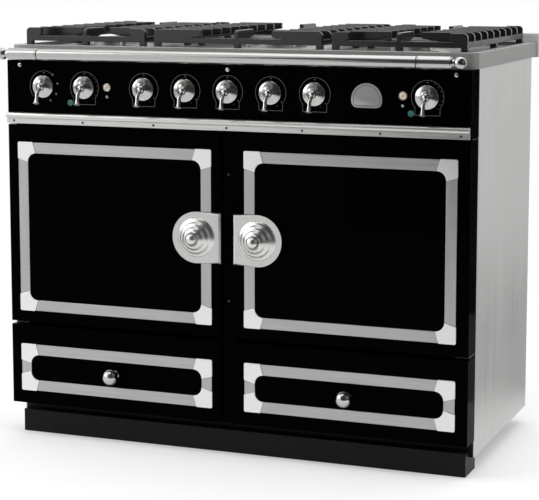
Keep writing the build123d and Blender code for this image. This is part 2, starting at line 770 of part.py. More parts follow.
def drawer_box_limits():
    return FRONT_IN_X + BOX_INNER_MARGIN, HALF_W - BOX_OUTER_MARGIN, DRAWER_Z0 + BOX_LIFT


def drawer_box():
    x0, x1, z0 = drawer_box_limits()
    y1 = BOX_BACK_Y
    box = block(x0, x1, FRONT_BACK_Y, y1, z0, z0 + BOX_H)
    box -= block(x0 + SHEET, x1 - SHEET, FRONT_BACK_Y + SHEET, y1 - SHEET, z0 + SHEET, z0 + BOX_H)
    plate = block(
        FRONT_IN_X + SHEET, INSIDE_X, FRONT_BACK_Y - SHEET, FRONT_BACK_Y, DRAWER_Z0 + SHEET, DRAWER_Z1 - SHEET
    )
    return box + plate


def drawer_trim():
    return trim_frame(DRAWER_Z0 + DRAWER_TRIM_BELOW, DRAWER_Z1 - DRAWER_TRIM_ABOVE)


def drawer_knob():
    x = (TRIM_X0 + TRIM_X1) / 2
    z = (DRAWER_Z0 + DRAWER_TRIM_BELOW + DRAWER_Z1 - DRAWER_TRIM_ABOVE) / 2
    foot = rod_y(x, FACE_Y - BALL_FOOT_H, FACE_Y, z, BALL_FOOT_R)
    neck = rod_y(x, FACE_Y - BALL_OUT, FACE_Y, z, BALL_NECK_R)
    return foot + neck + Pos(x, FACE_Y - BALL_OUT, z) * Sphere(BALL_R)


def drawer_runners():
    """Z-section rails on the base: a web, a ledge under the drawer box and a guide beside it."""
    x0, x1, z0 = drawer_box_limits()
    y0 = CASING_Y + SHEET
    y1 = BOX_BACK_Y
    ledge_z = z0 - RUNNER_CLEAR
    rails = []
    for x, inward in ((x0 - RUNNER_CLEAR, 1), (x1 + RUNNER_CLEAR, -1)):
        wall = sorted((x, x - inward * SHEET))
        ledge = sorted((x - inward * SHEET, x + inward * RUNNER_LEDGE))
        web = block(*wall, y0, y1, BASE_Z + SHEET, z0 + RUNNER_GUIDE_H)
        rails.append(web + block(*ledge, y0, y1, ledge_z - SHEET, ledge_z))
    return rails


# Door hinges

def hinge_brackets():
    """A lower bracket on the deck and an upper one in the control panel, each with its pin."""
    x1 = HALF_W - BRACKET_SIDE_CLEAR
    x0 = x1 - BRACKET_W
    y0 = FACE_Y + BRACKET_FRONT
    lower = block(x0, x1, y0, CASING_Y + BRACKET_TAIL, DECK_Z1, DECK_Z1 + BRACKET_T)
    lower += rod_z(HINGE_X, HINGE_AXIS_Y, DECK_Z1, DOOR_Z0 + HINGE_PIN_LEN, HINGE_PIN_R)
    plate_z = PANEL_Z0 + SHEET
    upper = block(x0, x1, y0, CASING_Y, plate_z, plate_z + BRACKET_T)
    upper += rod_z(HINGE_X, HINGE_AXIS_Y, DOOR_Z1 - HINGE_PIN_LEN, plate_z + BRACKET_T, HINGE_PIN_R)
    return [lower, upper]


def bracket_tail():
    """The room that the lower bracket's tail takes up in the casing."""
    x1 = HALF_W - BRACKET_SIDE_CLEAR
    return block(x1 - BRACKET_W, x1, CASING_Y, CASING_Y + BRACKET_TAIL, DECK_Z1, DECK_Z1 + BRACKET_T)


# Ovens

def oven_liner():
    z_top = PANEL_Z0 - INSULATION_HEAD
    flange = block(OVEN_FLANGE_GAP, INSIDE_X, CASING_Y, CASING_Y + SHEET, DECK_Z1, z_top)
    shell = block(
        OVEN_X0 - SHEET, OVEN_X1 + SHEET, CASING_Y, OVEN_BACK_Y + SHEET, OVEN_Z0 - SHEET, OVEN_Z1 + SHEET
    )
    liner = flange + shell - block(OVEN_X0, OVEN_X1, CASING_Y, OVEN_BACK_Y, OVEN_Z0, OVEN_Z1)
    for level in range(LEDGE_LEVELS):
        z = OVEN_Z0 + LEDGE_FIRST + level * LEDGE_PITCH
        for x0, x1 in ((OVEN_X0, OVEN_X0 + LEDGE_W), (OVEN_X1 - LEDGE_W, OVEN_X1)):
            liner += block(x0, x1, CASING_Y + RACK_END_CLEAR, OVEN_BACK_Y, z - LEDGE_T, z)
    return liner - bracket_tail()


def insulation_block():
    z_top = PANEL_Z0 - INSULATION_HEAD
    wrap = block(OVEN_FLANGE_GAP, INSIDE_X, CASING_Y + SHEET, INSULATION_Y, DECK_Z1, z_top)
    wrap -= block(
        OVEN_X0 - SHEET, OVEN_X1 + SHEET, CASING_Y, OVEN_BACK_Y + SHEET, OVEN_Z0 - SHEET, OVEN_Z1 + SHEET
    )
    return wrap - bracket_tail()


def shaft_hole():
    """The passage of the fan shaft through the left oven's back wall and insulation."""
    return rod_y(-OVEN_CENTRE_X, OVEN_BACK_Y, INSULATION_Y, FAN_Z, SHAFT_HOLE_R)


def door_seal():
    x0, x1 = OVEN_X0 - SEAL_MARGIN, OVEN_X1 + SEAL_MARGIN
    z0, z1 = OVEN_Z0 - SEAL_MARGIN, OVEN_Z1 + SEAL_MARGIN
    ring = block(x0 - SEAL_W, x1 + SEAL_W, CASING_Y - SEAL_T, CASING_Y, z0 - SEAL_W, z1 + SEAL_W)
    return ring - block(x0, x1, CASING_Y - SEAL_T, CASING_Y, z0, z1)


def oven_rack():
    x0 = OVEN_X0 + RACK_SIDE_CLEAR + RACK_ROD_R
    x1 = OVEN_X1 - RACK_SIDE_CLEAR - RACK_ROD_R
    y0 = CASING_Y + RACK_END_CLEAR + RACK_ROD_R
    y1 = OVEN_BACK_Y - COVER_OUT - RACK_END_CLEAR - RACK_ROD_R
    z = OVEN_Z0 + LEDGE_FIRST + RACK_LEVEL * LEDGE_PITCH + RACK_ROD_R + RACK_REST
    rack = rod_y(x0, y0, y1, z, RACK_ROD_R) + rod_y(x1, y0, y1, z, RACK_ROD_R)
    rack += [Pos(x, y, z) * Sphere(RACK_ROD_R) for x in (x0, x1) for y in (y0, y1)]
    rack += [rod_x(x0, x1, y, z, RACK_ROD_R) for y in (y0, y1)]
    pitch = (x1 - x0) / (RACK_WIRES + 1)
    rack += [rod_y(x0 + (i + 1) * pitch, y0, y1, z, RACK_WIRE_R) for i in range(RACK_WIRES)]
    return rack


def heating_elements():
    elements = []
    for side in (-1, 1):
        for z in (OVEN_Z0 + ELEMENT_INSET_Z, OVEN_Z1 - ELEMENT_INSET_Z):
            x0, x1 = sorted((side * (OVEN_X0 + ELEMENT_INSET_X), side * (OVEN_X1 - ELEMENT_INSET_X)))
            y0 = CASING_Y + ELEMENT_INSET_Y
            route = [(x0, OVEN_BACK_Y, z), (x0, y0, z), (x1, y0, z), (x1, OVEN_BACK_Y, z)]
            elements.append(tube(route, ELEMENT_R, ELEMENT_BEND_R))
    y = OVEN_BACK_Y - RING_OUT
    ring = Pos(-OVEN_CENTRE_X, y, FAN_Z) * Rot(90, 0, 0) * Torus(RING_R, ELEMENT_R)
    for dx in (-RING_LEG_DX, RING_LEG_DX):
        z = FAN_Z - (RING_R**2 - dx**2) ** 0.5
        ring += rod_y(dx - OVEN_CENTRE_X, y, OVEN_BACK_Y, z, RING_LEG_R)
    return [*elements, ring]


def convection_fan():
    x = -OVEN_CENTRE_X
    y1 = OVEN_BACK_Y - FAN_OUT
    fan = rod_y(x, y1 - FAN_DISC_T, y1, FAN_Z, FAN_R)
    fan += rod_y(x, y1 - FAN_BLADE_DEPTH, y1, FAN_Z, FAN_HUB_R)
    blade = block(
        FAN_HUB_R / 2, FAN_R - FAN_BLADE_END, y1 - FAN_BLADE_DEPTH + FAN_BLADE_END, y1 - FAN_DISC_T / 2,
        -FAN_BLADE_T / 2, FAN_BLADE_T / 2,
    )
    for i in range(FAN_BLADES):
        fan += Pos(x, 0, FAN_Z) * Rot(0, i * 360 / FAN_BLADES, 0) * blade
    return fan + rod_y(x, y1, INSULATION_Y + SHAFT_IN_MOTOR, FAN_Z, SHAFT_R)


def fan_motor():
    x = -OVEN_CENTRE_X
    body = rod_y(x, INSULATION_Y, INSULATION_Y + MOTOR_LEN, FAN_Z, MOTOR_R)
    bore = rod_y(
        x, INSULATION_Y, INSULATION_Y + SHAFT_IN_MOTOR + BORE_END_GAP, FAN_Z, SHAFT_R + SHAFT_CLEAR
    )
    return body - bore


def fan_cover():
    x = -OVEN_CENTRE_X
    y = OVEN_BACK_Y - COVER_OUT
    cover = rod_y(x, y, y + COVER_T, FAN_Z, COVER_R)
    for i in range(COVER_SLOTS):
        slot = block(
            COVER_SLOT_IN, COVER_SLOT_OUT, y, y + COVER_T, -COVER_SLOT_W / 2, COVER_SLOT_W / 2
        )
        cover -= Pos(x, 0, FAN_Z) * Rot(0, i * 360 / COVER_SLOTS, 0) * slot
    for i in range(4):
        angle = radians(45 + 90 * i)
        leg_x = x + COVER_LEG_AT * cos(angle)
        cover += rod_y(leg_x, y, OVEN_BACK_Y, FAN_Z + COVER_LEG_AT * sin(angle), COVER_LEG_R)
    return cover


# Burners and pan supports

def burner_base(x, y, r):
    """A cup with a flange on the worktop, a waist, a ported head and a stub below."""
    r_flange = r + BURNER_FLANGE
    waist = r - BURNER_WAIST_IN
    head_z = WELL_Z + BURNER_BASE_H
    base = rod_z(x, y, WELL_Z, WELL_Z + BURNER_FLANGE_H, r_flange)
    base += rod_z(x, y, WELL_Z, head_z, waist)
    base += rod_z(x, y, head_z - BURNER_PORT_H, head_z, r)
    return base + rod_z(x, y, WELL_Z - STUB_LEN, WELL_Z, STUB_R)


def burner_cap(x, y, r):
    z = WELL_Z + BURNER_BASE_H
    lid = rod_z(x, y, z, z + CAP_T, r - CAP_IN)
    return fillet(lid.edges().group_by(Axis.Z)[-1], CAP_EDGE_R)


def grate_arm(length, z0, top):
    """Side view of a finger or spine, from its rounded shoulder over the rail to its raised tip."""
    r = ARM_SHOULDER_R
    bend = r - r * cos(radians(45))
    shoulder = ((bend, top - bend), (0, top - r))
    return outline((0, z0), (GRATE_RAIL_W, z0), (length, top - ARM_TIP), (length, top), (r, top), shoulder)


def grate(x0, x1, end_finger_len):
    """A cast pan support: low rails on feet, cross fingers from both sides and two middle spines."""
    x = (x0 + x1) / 2
    y0 = WELL_Y0 + GRATE_MARGIN_Y
    y1 = WELL_Y1 - GRATE_MARGIN_Y
    foot_z = WELL_Z + GRATE_REST
    z0 = WELL_Z + GRATE_LIFT
    z1 = z0 + GRATE_RAIL_H
    top = WELL_Z + GRATE_H
    rail = GRATE_RAIL_W
    frame = block(x0, x1, y0, y1, z0, z1)
    frame -= block(x0 + rail, x1 - rail, y0 + rail, y1 - rail, z0, z1)
    pitch = (y1 - y0 - FINGER_W) / (FINGERS - 1)
    for i in range(FINGERS):
        y = y0 + FINGER_W / 2 + i * pitch
        finger = grate_arm(end_finger_len if i in (0, FINGERS - 1) else FINGER_LEN, z0, top)
        for start, direction in ((x0, 1), (x1, -1)):
            plane = Plane(
                origin=(start, y, 0), x_dir=(direction, 0, 0), z_dir=(0, -direction, 0)
            )
            frame += extrude(plane * finger, FINGER_W / 2, both=True)
    spine = grate_arm(SPINE_LEN, z0, top)
    for start, direction in ((y0, 1), (y1, -1)):
        plane = Plane(origin=(x, start, 0), x_dir=(0, direction, 0), z_dir=(direction, 0, 0))
        frame += extrude(plane * spine, FINGER_W / 2, both=True)
    foot = GRATE_FOOT_W
    middle_y = (y0 + y1 - foot) / 2
    feet = [(fx, fy) for fx in (x0, x1 - foot) for fy in (y0, middle_y, y1 - foot)]
    feet += [(x - foot / 2, fy) for fy in (y0, y1 - foot)]
    for fx, fy in feet:
        frame += block(fx, fx + foot, fy, fy + foot, foot_z, z1)
    return frame


# Gas pipework, oven controls, terminal box and knobs

def gas_inlet():
    """The union outside the back panel: a hexagon and a male thread."""
    y0 = CASING_BACK_Y
    plane = Plane(origin=(SUPPLY_X, y0, KNOB_AXIS_Z), x_dir=(1, 0, 0), z_dir=(0, 1, 0))
    inlet = extrude(plane * RegularPolygon(INLET_HEX_R, 6), INLET_HEX_LEN)
    return inlet + rod_y(SUPPLY_X, y0, y0 + INLET_HEX_LEN + INLET_THREAD_LEN, KNOB_AXIS_Z, INLET_THREAD_R)


def gas_train():
    """A manifold with a tap and feed tube for each burner, and a supply pipe to the inlet at the back."""
    x_end = max(TAP_XS[-1] + MANIFOLD_END, SUPPLY_X)
    train = rod_x(TAP_XS[0] - MANIFOLD_END, x_end, MANIFOLD_AXIS_Y, KNOB_AXIS_Z, MANIFOLD_R)
    train += rod_y(SUPPLY_X, MANIFOLD_AXIS_Y, CASING_BACK_Y, KNOB_AXIS_Z, MANIFOLD_R)
    train += gas_inlet()
    feed_z = PANEL_Z1 - FEED_DROP
    for tap_x, (bx, by) in zip(TAP_XS, BURNERS):
        train += rod_y(tap_x, FACE_Y + SHEET + TAP_FRONT, MANIFOLD_AXIS_Y, KNOB_AXIS_Z, TAP_R)
        train += rod_y(tap_x, FACE_Y - SPINDLE_OUT, FACE_Y + SHEET + TAP_FRONT, KNOB_AXIS_Z, SPINDLE_R)
        route = [
            (tap_x, FACE_Y + FEED_Y, KNOB_AXIS_Z), (tap_x, FACE_Y + FEED_Y, feed_z), (tap_x, by, feed_z),
            (bx, by, feed_z), (bx, by, WELL_Z - STUB_LEN),
        ]
        if bx == tap_x:
            del route[2]
        train += tube(route, FEED_R, FEED_BEND_R)
    return train


def oven_controls():
    """A switch or thermostat body behind the panel for each oven knob, with its spindle."""
    controls = []
    y0 = FACE_Y + SHEET
    half = CONTROL_BOX_W / 2
    z0 = KNOB_AXIS_Z - CONTROL_BOX_H / 2
    for x in OVEN_KNOB_XS.values():
        body = block(x - half, x + half, y0, y0 + CONTROL_BOX_D, z0, z0 + CONTROL_BOX_H)
        controls.append(body + rod_y(x, FACE_Y - SPINDLE_OUT, y0, KNOB_AXIS_Z, SPINDLE_R))
    return controls


def terminal_box():
    """The electric terminal box on the back, with its empty gland."""
    y0 = CASING_BACK_Y
    x0 = TERMINAL_X - TERMINAL_W / 2
    box = block(x0, x0 + TERMINAL_W, y0, y0 + TERMINAL_D, TERMINAL_Z, TERMINAL_Z + TERMINAL_H)
    gland_y = y0 + TERMINAL_D / 2
    gland = Pos(TERMINAL_X, gland_y, TERMINAL_Z - GLAND_LEN / 2) * Cone(GLAND_TIP_R, GLAND_R, GLAND_LEN)
    gland -= rod_z(TERMINAL_X, gland_y, TERMINAL_Z - GLAND_LEN, TERMINAL_Z, GLAND_BORE_R)
    return box + gland


def knob(x):
    """A bell-shaped knob with a bent, flared lever that hangs from its nose, bored for the spindle."""
    y = FACE_Y - KNOB_SETOFF
    nose_z = KNOB_SKIRT + KNOB_FLANK_H
    nose = cap(KNOB_NOSE_R, nose_z, KNOB_NOSE_H)
    bell = outline((0, 0), (KNOB_R, 0), (KNOB_R, KNOB_SKIRT), (KNOB_NOSE_R, nose_z), nose)
    body = turned(x, y, KNOB_AXIS_Z, bell)
    start = Vector(x, FACE_Y - LEVER_START_OUT, KNOB_AXIS_Z - LEVER_START_DOWN)
    knee = Vector(x, FACE_Y - LEVER_KNEE_OUT, KNOB_AXIS_Z - LEVER_KNEE_DOWN)
    end = Vector(x, FACE_Y - LEVER_END_OUT, KNOB_AXIS_Z - LEVER_END_DOWN)
    on_end = (Align.CENTER, Align.CENTER, Align.MIN)
    bend = Plane(origin=start, z_dir=knee - start) * Cylinder(LEVER_R, (knee - start).length, align=on_end)
    body += bend + Pos(*knee) * Sphere(LEVER_KNEE_R)
    along = (end - knee).normalized()
    length = (end - knee).length
    stem = length - LEVER_TIP_LEN - LEVER_TIP_RIM
    trumpet = flare(LEVER_WAIST_R, stem, LEVER_TIP_R - LEVER_WAIST_R, LEVER_TIP_LEN)
    tip = cap(LEVER_TIP_R, length - LEVER_TIP_RIM, LEVER_TIP_RIM)
    section = outline((0, 0), (LEVER_R, 0), (LEVER_WAIST_R, stem), trumpet, tip)
    plane = Plane(origin=knee, x_dir=(1, 0, 0), z_dir=Vector(1, 0, 0).cross(along))
    body += revolve(plane * section, axis=Axis(knee, along))
    depth = SPINDLE_OUT + BORE_END_GAP
    return body - rod_y(x, FACE_Y - depth, FACE_Y, KNOB_AXIS_Z, SPINDLE_R + SPINDLE_CLEAR)


def write_casing():
    save("levelling_feet", *levelling_feet())
    save("plinth", plinth())
    save("base_tray", base_tray())
    save("right_side_panel", side_panel())
    save("left_side_panel", left_of(side_panel()))
    save("back_panel", back_panel())
    save("centre_stile", centre_stile())
    save("drawer_deck", drawer_deck())
    save("worktop", worktop())
    save("rear_upstand", rear_upstand())
    save("front_rail", front_rail())
    save("rail_ends", rail_end(), left_of(rail_end()))


def write_panel():
    save("control_panel", control_panel())
    save("trim_moulding", trim_moulding())
    save("front_screws", *front_screws())
    save("indicator_lamps", *indicator_lamps())
    save("badge_plate", badge_plate())
    save("gas_train", gas_train())
    save("oven_controls", *oven_controls())
    save("terminal_box", terminal_box())
    for i, x in enumerate(TAP_XS):
        save(f"gas_knob_{i + 1}", knob(x))
    for name, x in OVEN_KNOB_XS.items():
        save(name, knob(x))


def write_ovens():
    save("right_oven_liner", oven_liner())
    save("left_oven_liner", left_of(oven_liner()) - shaft_hole())
    save("oven_insulation", insulation_block(), left_of(insulation_block()) - shaft_hole())
    save("door_seals", door_seal(), left_of(door_seal()))
    save("oven_racks", oven_rack(), left_of(oven_rack()))
    save("heating_elements", *heating_elements())
    save("convection_fan", convection_fan())
    save("fan_motor", fan_motor())
    save("fan_cover", fan_cover())


def write_fronts():
    right_pieces = {
        "door_panel": [door_panel()],
        "door_liner": [door_liner()],
        "door_trim": door_trim(),
        "door_handle": [door_handle()],
        "drawer_front": [drawer_front()],
        "drawer_box": [drawer_box()],
        "drawer_trim": drawer_trim(),
        "drawer_knob": [drawer_knob()],
    }
    for name, pieces in right_pieces.items():
        save(f"right_{name}", *pieces)
        save(f"left_{name}", *[left_of(piece) for piece in pieces])
    brackets = hinge_brackets()
    save("hinge_brackets", *brackets, *[left_of(bracket) for bracket in brackets])
    runners = drawer_runners()
    save("drawer_runners", *runners, *[left_of(rail) for rail in runners])


def write_hob():
    spots = [(x, y, r) for (x, y), r in zip(BURNERS, BURNER_RS)]
    save("burner_bases", *[burner_base(*spot) for spot in spots])
    save("burner_caps", *[burner_cap(*spot) for spot in spots])
    save("left_grate", grate(-SIDE_GRATE_X1, -SIDE_GRATE_X0, END_FINGER_LEN))
    save("centre_grate", grate(-MIDDLE_GRATE_W / 2, MIDDLE_GRATE_W / 2, FINGER_LEN))
    save("right_grate", grate(SIDE_GRATE_X0, SIDE_GRATE_X1, END_FINGER_LEN))


os.makedirs("parts", exist_ok=True)
write_casing()
write_panel()
write_ovens()
write_fronts()
write_hob()
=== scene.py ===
"""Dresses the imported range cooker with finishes, detailed pieces, a studio stage and a camera."""

import json
from math import asin, cos, degrees, pi, radians, sin, sqrt, tau

import bmesh
import bpy
from mathutils import Matrix, Vector


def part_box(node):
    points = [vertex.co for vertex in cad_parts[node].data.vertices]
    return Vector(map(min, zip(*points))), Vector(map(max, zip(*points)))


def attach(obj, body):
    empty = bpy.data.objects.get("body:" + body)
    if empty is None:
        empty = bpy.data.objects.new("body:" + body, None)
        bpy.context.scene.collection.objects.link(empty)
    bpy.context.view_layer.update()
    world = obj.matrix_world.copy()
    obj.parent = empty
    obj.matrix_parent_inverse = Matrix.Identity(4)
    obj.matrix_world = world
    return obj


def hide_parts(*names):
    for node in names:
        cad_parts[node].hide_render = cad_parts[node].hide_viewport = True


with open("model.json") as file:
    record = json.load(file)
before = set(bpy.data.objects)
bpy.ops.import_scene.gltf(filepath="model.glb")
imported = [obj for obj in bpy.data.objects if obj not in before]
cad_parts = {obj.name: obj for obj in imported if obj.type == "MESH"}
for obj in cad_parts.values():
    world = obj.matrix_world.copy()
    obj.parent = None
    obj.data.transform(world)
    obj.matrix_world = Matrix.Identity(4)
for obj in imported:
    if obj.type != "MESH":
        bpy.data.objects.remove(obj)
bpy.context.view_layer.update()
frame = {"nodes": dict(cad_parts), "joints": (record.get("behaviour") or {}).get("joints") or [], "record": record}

bl_info = {
    "name": "Range Cooker",
    "version": (1, 0, 0),
    "blender": (4, 5, 0),
    "location": "View3D > Sidebar > Cooker",
    "description": "Finishes, detailed pieces and a studio for a range cooker",
    "category": "Object",
}

SIDES = {"left": -1, "right": 1}
SELECTOR = "oven_selector_knob"
THERMOSTATS = ["left_thermostat_knob", "right_thermostat_knob"]
KNOBS = [*[f"gas_knob_{i}" for i in range(1, 6)], SELECTOR, *THERMOSTATS]
SLOT_OF = {part["node"]: part["material_slot"] for part in frame["record"]["subparts"]}

FACE_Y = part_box("left_door_panel")[0].y
KNOB_Z = next(joint["pos_m"][2] for joint in frame["joints"] if joint["child"] == SELECTOR)

# Turns that point a shape's Z axis at the front or along X, and one that pushes a section along X
FRONT = Matrix(((1, 0, 0, 0), (0, 0, -1, 0), (0, 1, 0, 0), (0, 0, 0, 1)))
ALONG_X = Matrix(((0, 0, 1, 0), (1, 0, 0, 0), (0, 1, 0, 0), (0, 0, 0, 1)))
SECTION = Matrix(((0, 0, -1, 0), (-1, 0, 0, 0), (0, 1, 0, 0), (0, 0, 0, 1)))
UPRIGHT = Matrix.Identity(4)


# Properties

def number(name, default, description, **limits):
    return bpy.props.FloatProperty(name=name, description=description, default=default, **limits)


def length(name, default, description):
    return number(name, default, description, min=0.0, precision=4, subtype="DISTANCE", unit="LENGTH")


def count(name, default, description):
    return bpy.props.IntProperty(name=name, description=description, default=default, min=1)


def colour(name, default, description):
    return bpy.props.FloatVectorProperty(
        name=name, description=description, default=default, size=3, min=0.0, max=1.0, subtype="COLOR"
    )


def group(kind, name, description):
    return bpy.props.PointerProperty(type=kind, name=name, description=description)


class CookerColours(bpy.types.PropertyGroup):
    """Colours of the main finishes."""

    enamel: colour("Enamel", (0.0007, 0.0007, 0.0008), "Gloss black enamel of the fronts")
    side_steel: colour("Side steel", (0.64, 0.637, 0.63), "Satin steel of the side panels")
    worktop_steel: colour("Worktop steel", (0.42, 0.415, 0.405), "Brushed steel of the worktop and upstand")
    strip_steel: colour("Strip steel", (0.41, 0.41, 0.41), "Brushed steel of the strips")
    corner_metal: colour("Corner metal", (0.77, 0.77, 0.765), "Bright metal of the corner pieces")
    chrome: colour("Chrome", (0.52, 0.52, 0.51), "Polished knobs, handles and rail")
    iron: colour("Iron", (0.008, 0.008, 0.009), "Enamelled cast iron of the grates")
    ink: colour("Ink", (0.13, 0.13, 0.127), "Printed lines and marks of the dials")
    lens: colour("Lens", (0.66, 0.60, 0.50), "Cream lamp lenses")
    disc: colour("Disc", (0.008, 0.085, 0.085), "Green marker discs")


class TrimSizes(bpy.types.PropertyGroup):
    """Metal strips and corner pieces on the doors and drawers."""

    strip: length("Strip width", 0.0245, "Width of a strip")
    strip_t: length("Strip thickness", 0.0025, "How far a strip stands off the front")
    corner_t: length("Corner thickness", 0.0035, "How far a corner piece stands off the front")
    corner_round: length("Corner rounding", 0.004, "Rounding of a corner piece's outer corner")
    arm: length("Corner arm", 0.037, "Length of a corner piece along its outer edge")
    scoop: length("Corner scoop", 0.020, "Radius of the scooped inner corner")
    outset: length("Corner outset", 0.001, "How far a corner piece passes the strips' outer edge")
    edge: length("Edge", 0.0007, "Rounding of the strips' edges")


class HandleSizes(bpy.types.PropertyGroup):
    """Door handles and drawer knobs."""

    flat: length("Plate flat", 0.0575, "From the flat side of the plate to the middle of the dome")
    plate_t: length("Plate thickness", 0.0065, "Thickness of the plate")
    plate_round: length("Plate rounding", 0.0055, "Rounding of the plate's front edge")
    dome_r: length("Dome radius", 0.044, "Radius of the lowest tier of the dome")
    dome_h: length("Dome height", 0.0395, "From the plate to the tip of the nose")
    tiers: count("Tiers", 3, "Rounded steps of the dome")
    wave: number("Tier depth", 0.24, "How deep the steps are, from smooth to square", min=0.0, max=1.0)
    nose_r: length("Nose radius", 0.0146, "Radius of the ball nose")
    ball_r: length("Ball radius", 0.0175, "Radius of a drawer knob")
    ball_out: length("Ball reach", 0.027, "From the drawer front to the middle of its knob")
    neck: number("Neck", 0.37, "Radius of a drawer knob's neck, as a share of the ball's", min=0.0, max=1.0)
    foot: number("Foot", 0.57, "Radius of a drawer knob's foot, as a share of the ball's", min=0.0, max=1.0)
    foot_h: length("Foot height", 0.004, "Height of a drawer knob's foot")


class KnobSizes(bpy.types.PropertyGroup):
    """Control knobs with a hanging lever."""

    radius: length("Radius", 0.0255, "Radius of the brim")
    brim: length("Brim", 0.0016, "Rounding of the brim")
    skirt: length("Skirt", 0.005, "Height of the straight skirt")
    flank: length("Flank", 0.0105, "From the skirt up to the foot of the nose")
    hollow: length("Hollow", 0.0009, "How far the flank dips below a straight line")
    nose_r: length("Nose radius", 0.009, "Radius of the nose at its foot")
    nose_h: length("Nose height", 0.0075, "From the foot of the nose to its top")
    setoff: length("Set-off", 0.001, "Gap between panel and knob")
    root_out: length("Root reach", 0.020, "From the panel to the lever's root")
    root_down: length("Root drop", 0.002, "From the axis down to the lever's root")
    knee_out: length("Knee reach", 0.032, "From the panel to the lever's knee")
    knee_down: length("Knee drop", 0.011, "From the axis down to the lever's knee")
    tip_out: length("Tip reach", 0.0365, "From the panel to the lever's tip")
    tip_down: length("Tip drop", 0.038, "From the axis down to the lever's tip")
    stem_r: length("Stem radius", 0.0044, "Radius of the lever at its root")
    waist_r: length("Waist radius", 0.0039, "Radius of the lever before it flares")
    tip_r: length("Tip radius", 0.0082, "Radius of the flared tip")
    tip_len: length("Flare", 0.012, "Length of the flare")
    tip_round: length("Tip rounding", 0.0025, "Height of the tip's round end")


class DialSizes(bpy.types.PropertyGroup):
    """Printed dials, lamps, marker discs and badge plate on the control panel."""

    ring_r: length("Ring radius", 0.035, "Radius of the keyhole line round a knob")
    base_half: length("Base half width", 0.027, "Half width of the keyhole's square base")
    base_drop: length("Base drop", 0.038, "From the axis down to the keyhole's base line")
    line: length("Line", 0.0007, "Width of a printed line")
    ink_t: length("Ink thickness", 0.00025, "How far the print stands off the panel")
    lamp_r: length("Lamp radius", 0.009, "Radius of a lamp's bezel")
    lamp_drop: length("Pilot drop", 0.021, "From a lamp down to the small dot below it")
    disc_r: length("Disc radius", 0.007, "Radius of a marker disc")
    disc_dx: length("Disc offset", 0.0355, "From a thermostat's axis across to its marker disc")
    disc_drop: length("Disc drop", 0.035, "From the knob axes down to the marker discs")


class RailSizes(bpy.types.PropertyGroup):
    """Front rail with its end sleeves and balls, and the moulding below the panel."""

    sleeve: length("Sleeve length", 0.0715, "Length of an end sleeve")
    sleeve_r: length("Sleeve radius", 0.01355, "Radius of an end sleeve")
    neck_r: length("Neck radius", 0.008, "Radius of the neck behind a ball")
    neck: length("Neck length", 0.005, "Length of the neck")
    ball_r: length("Ball radius", 0.0135, "Radius of an end ball")
    band_h: length("Band height", 0.012, "Height of the moulding's flat band")
    band_t: length("Band thickness", 0.007, "How far the flat band stands off the panel")


class FixingSizes(bpy.types.PropertyGroup):
    """Screws, burner ports, louvres and the grates' edges."""

    screw_r: length("Screw radius", 0.0048, "Radius of a large screw head")
    screw_h: length("Screw height", 0.0024, "Height of a large screw head")
    small: number("Small screw", 0.58, "Size of a small screw head next to a large one", min=0.1)
    slot: length("Screw slot", 0.0011, "Width of a screw slot")
    panel_inset: length("Panel screw inset", 0.033, "From an end of the control panel to its screw")
    panel_drop: length("Panel screw drop", 0.011, "From the top of the control panel down to its screws")
    ports: count("Burner ports", 30, "Flame ports round each burner")
    louvre_h: length("Louvre height", 0.009, "Height of a louvre hood on the back panel")
    louvre_out: length("Louvre reach", 0.006, "How far a louvre hood stands off the back panel")
    grate_edge: length("Grate edge", 0.0012, "Rounding of the grates' edges")


class StageSettings(bpy.types.PropertyGroup):
    """Camera and light."""

    eye: bpy.props.FloatVectorProperty(
        name="Eye", description="Place of the camera", default=(1.4550, -3.7553, 1.0854), subtype="XYZ",
        unit="LENGTH",
    )
    yaw: number("Yaw", radians(21.3025), "Turn of the camera about the vertical", subtype="ANGLE")
    pitch: number("Pitch", radians(7.2271), "Tilt of the camera below the horizon", subtype="ANGLE")
    lens: number("Lens", 116.825, "Focal length in millimetres on a 36 mm sensor", min=1.0)
    shift: number("Shift", -0.12, "Vertical shift of the lens, as a share of the picture's width")
    world: number("World", 0.55, "Strength of the even light from all round", min=0.0)
    key: number("Key", 85.0, "Power of the soft light at the front left", min=0.0, unit="POWER")
    side: number("Side", 45.0, "Power of the soft light at the right", min=0.0, unit="POWER")
    top: number("Top", 40.0, "Power of the soft light above", min=0.0, unit="POWER")


class CookerSettings(bpy.types.PropertyGroup):
    """All settings of the cooker."""

    colours: group(CookerColours, "Colours", "Main finishes")
    trim: group(TrimSizes, "Trim", "Strips and corner pieces")
    handle: group(HandleSizes, "Handles", "Handles and drawer knobs")
    knob: group(KnobSizes, "Knobs", "Control knobs")
    dial: group(DialSizes, "Dials", "Prints and lamps on the panel")
    rail: group(RailSizes, "Rail", "Front rail and moulding")
    fixing: group(FixingSizes, "Fixings", "Screws, ports, louvres and grates")
    stage: group(StageSettings, "Stage", "Camera and light")


# Nodes and finishes

def feed(tree, made, inputs):
    """Give a node's inputs their values, and link those whose value is a socket."""
    for key, value in inputs.items():
        if isinstance(value, bpy.types.NodeSocket):
            tree.links.new(value, made.inputs[key])
        else:
            made.inputs[key].default_value = value


def node(tree, kind, inputs=None, **settings):
    """Add a node with its settings and inputs."""
    made = tree.nodes.new(kind)
    for key, value in settings.items():
        setattr(made, key, value)
    feed(tree, made, inputs or {})
    return made


def calc(tree, operation, *values):
    return node(tree, "ShaderNodeMath", dict(enumerate(values)), operation=operation).outputs[0]


def vector(tree, *parts):
    return node(tree, "ShaderNodeCombineXYZ", dict(enumerate(parts))).outputs[0]


def blend(tree, share, one, two):
    """The colour that lies a share of the way from one to two."""
    return node(tree, "ShaderNodeMix", {0: share, 6: one, 7: two}, data_type="RGBA").outputs[2]


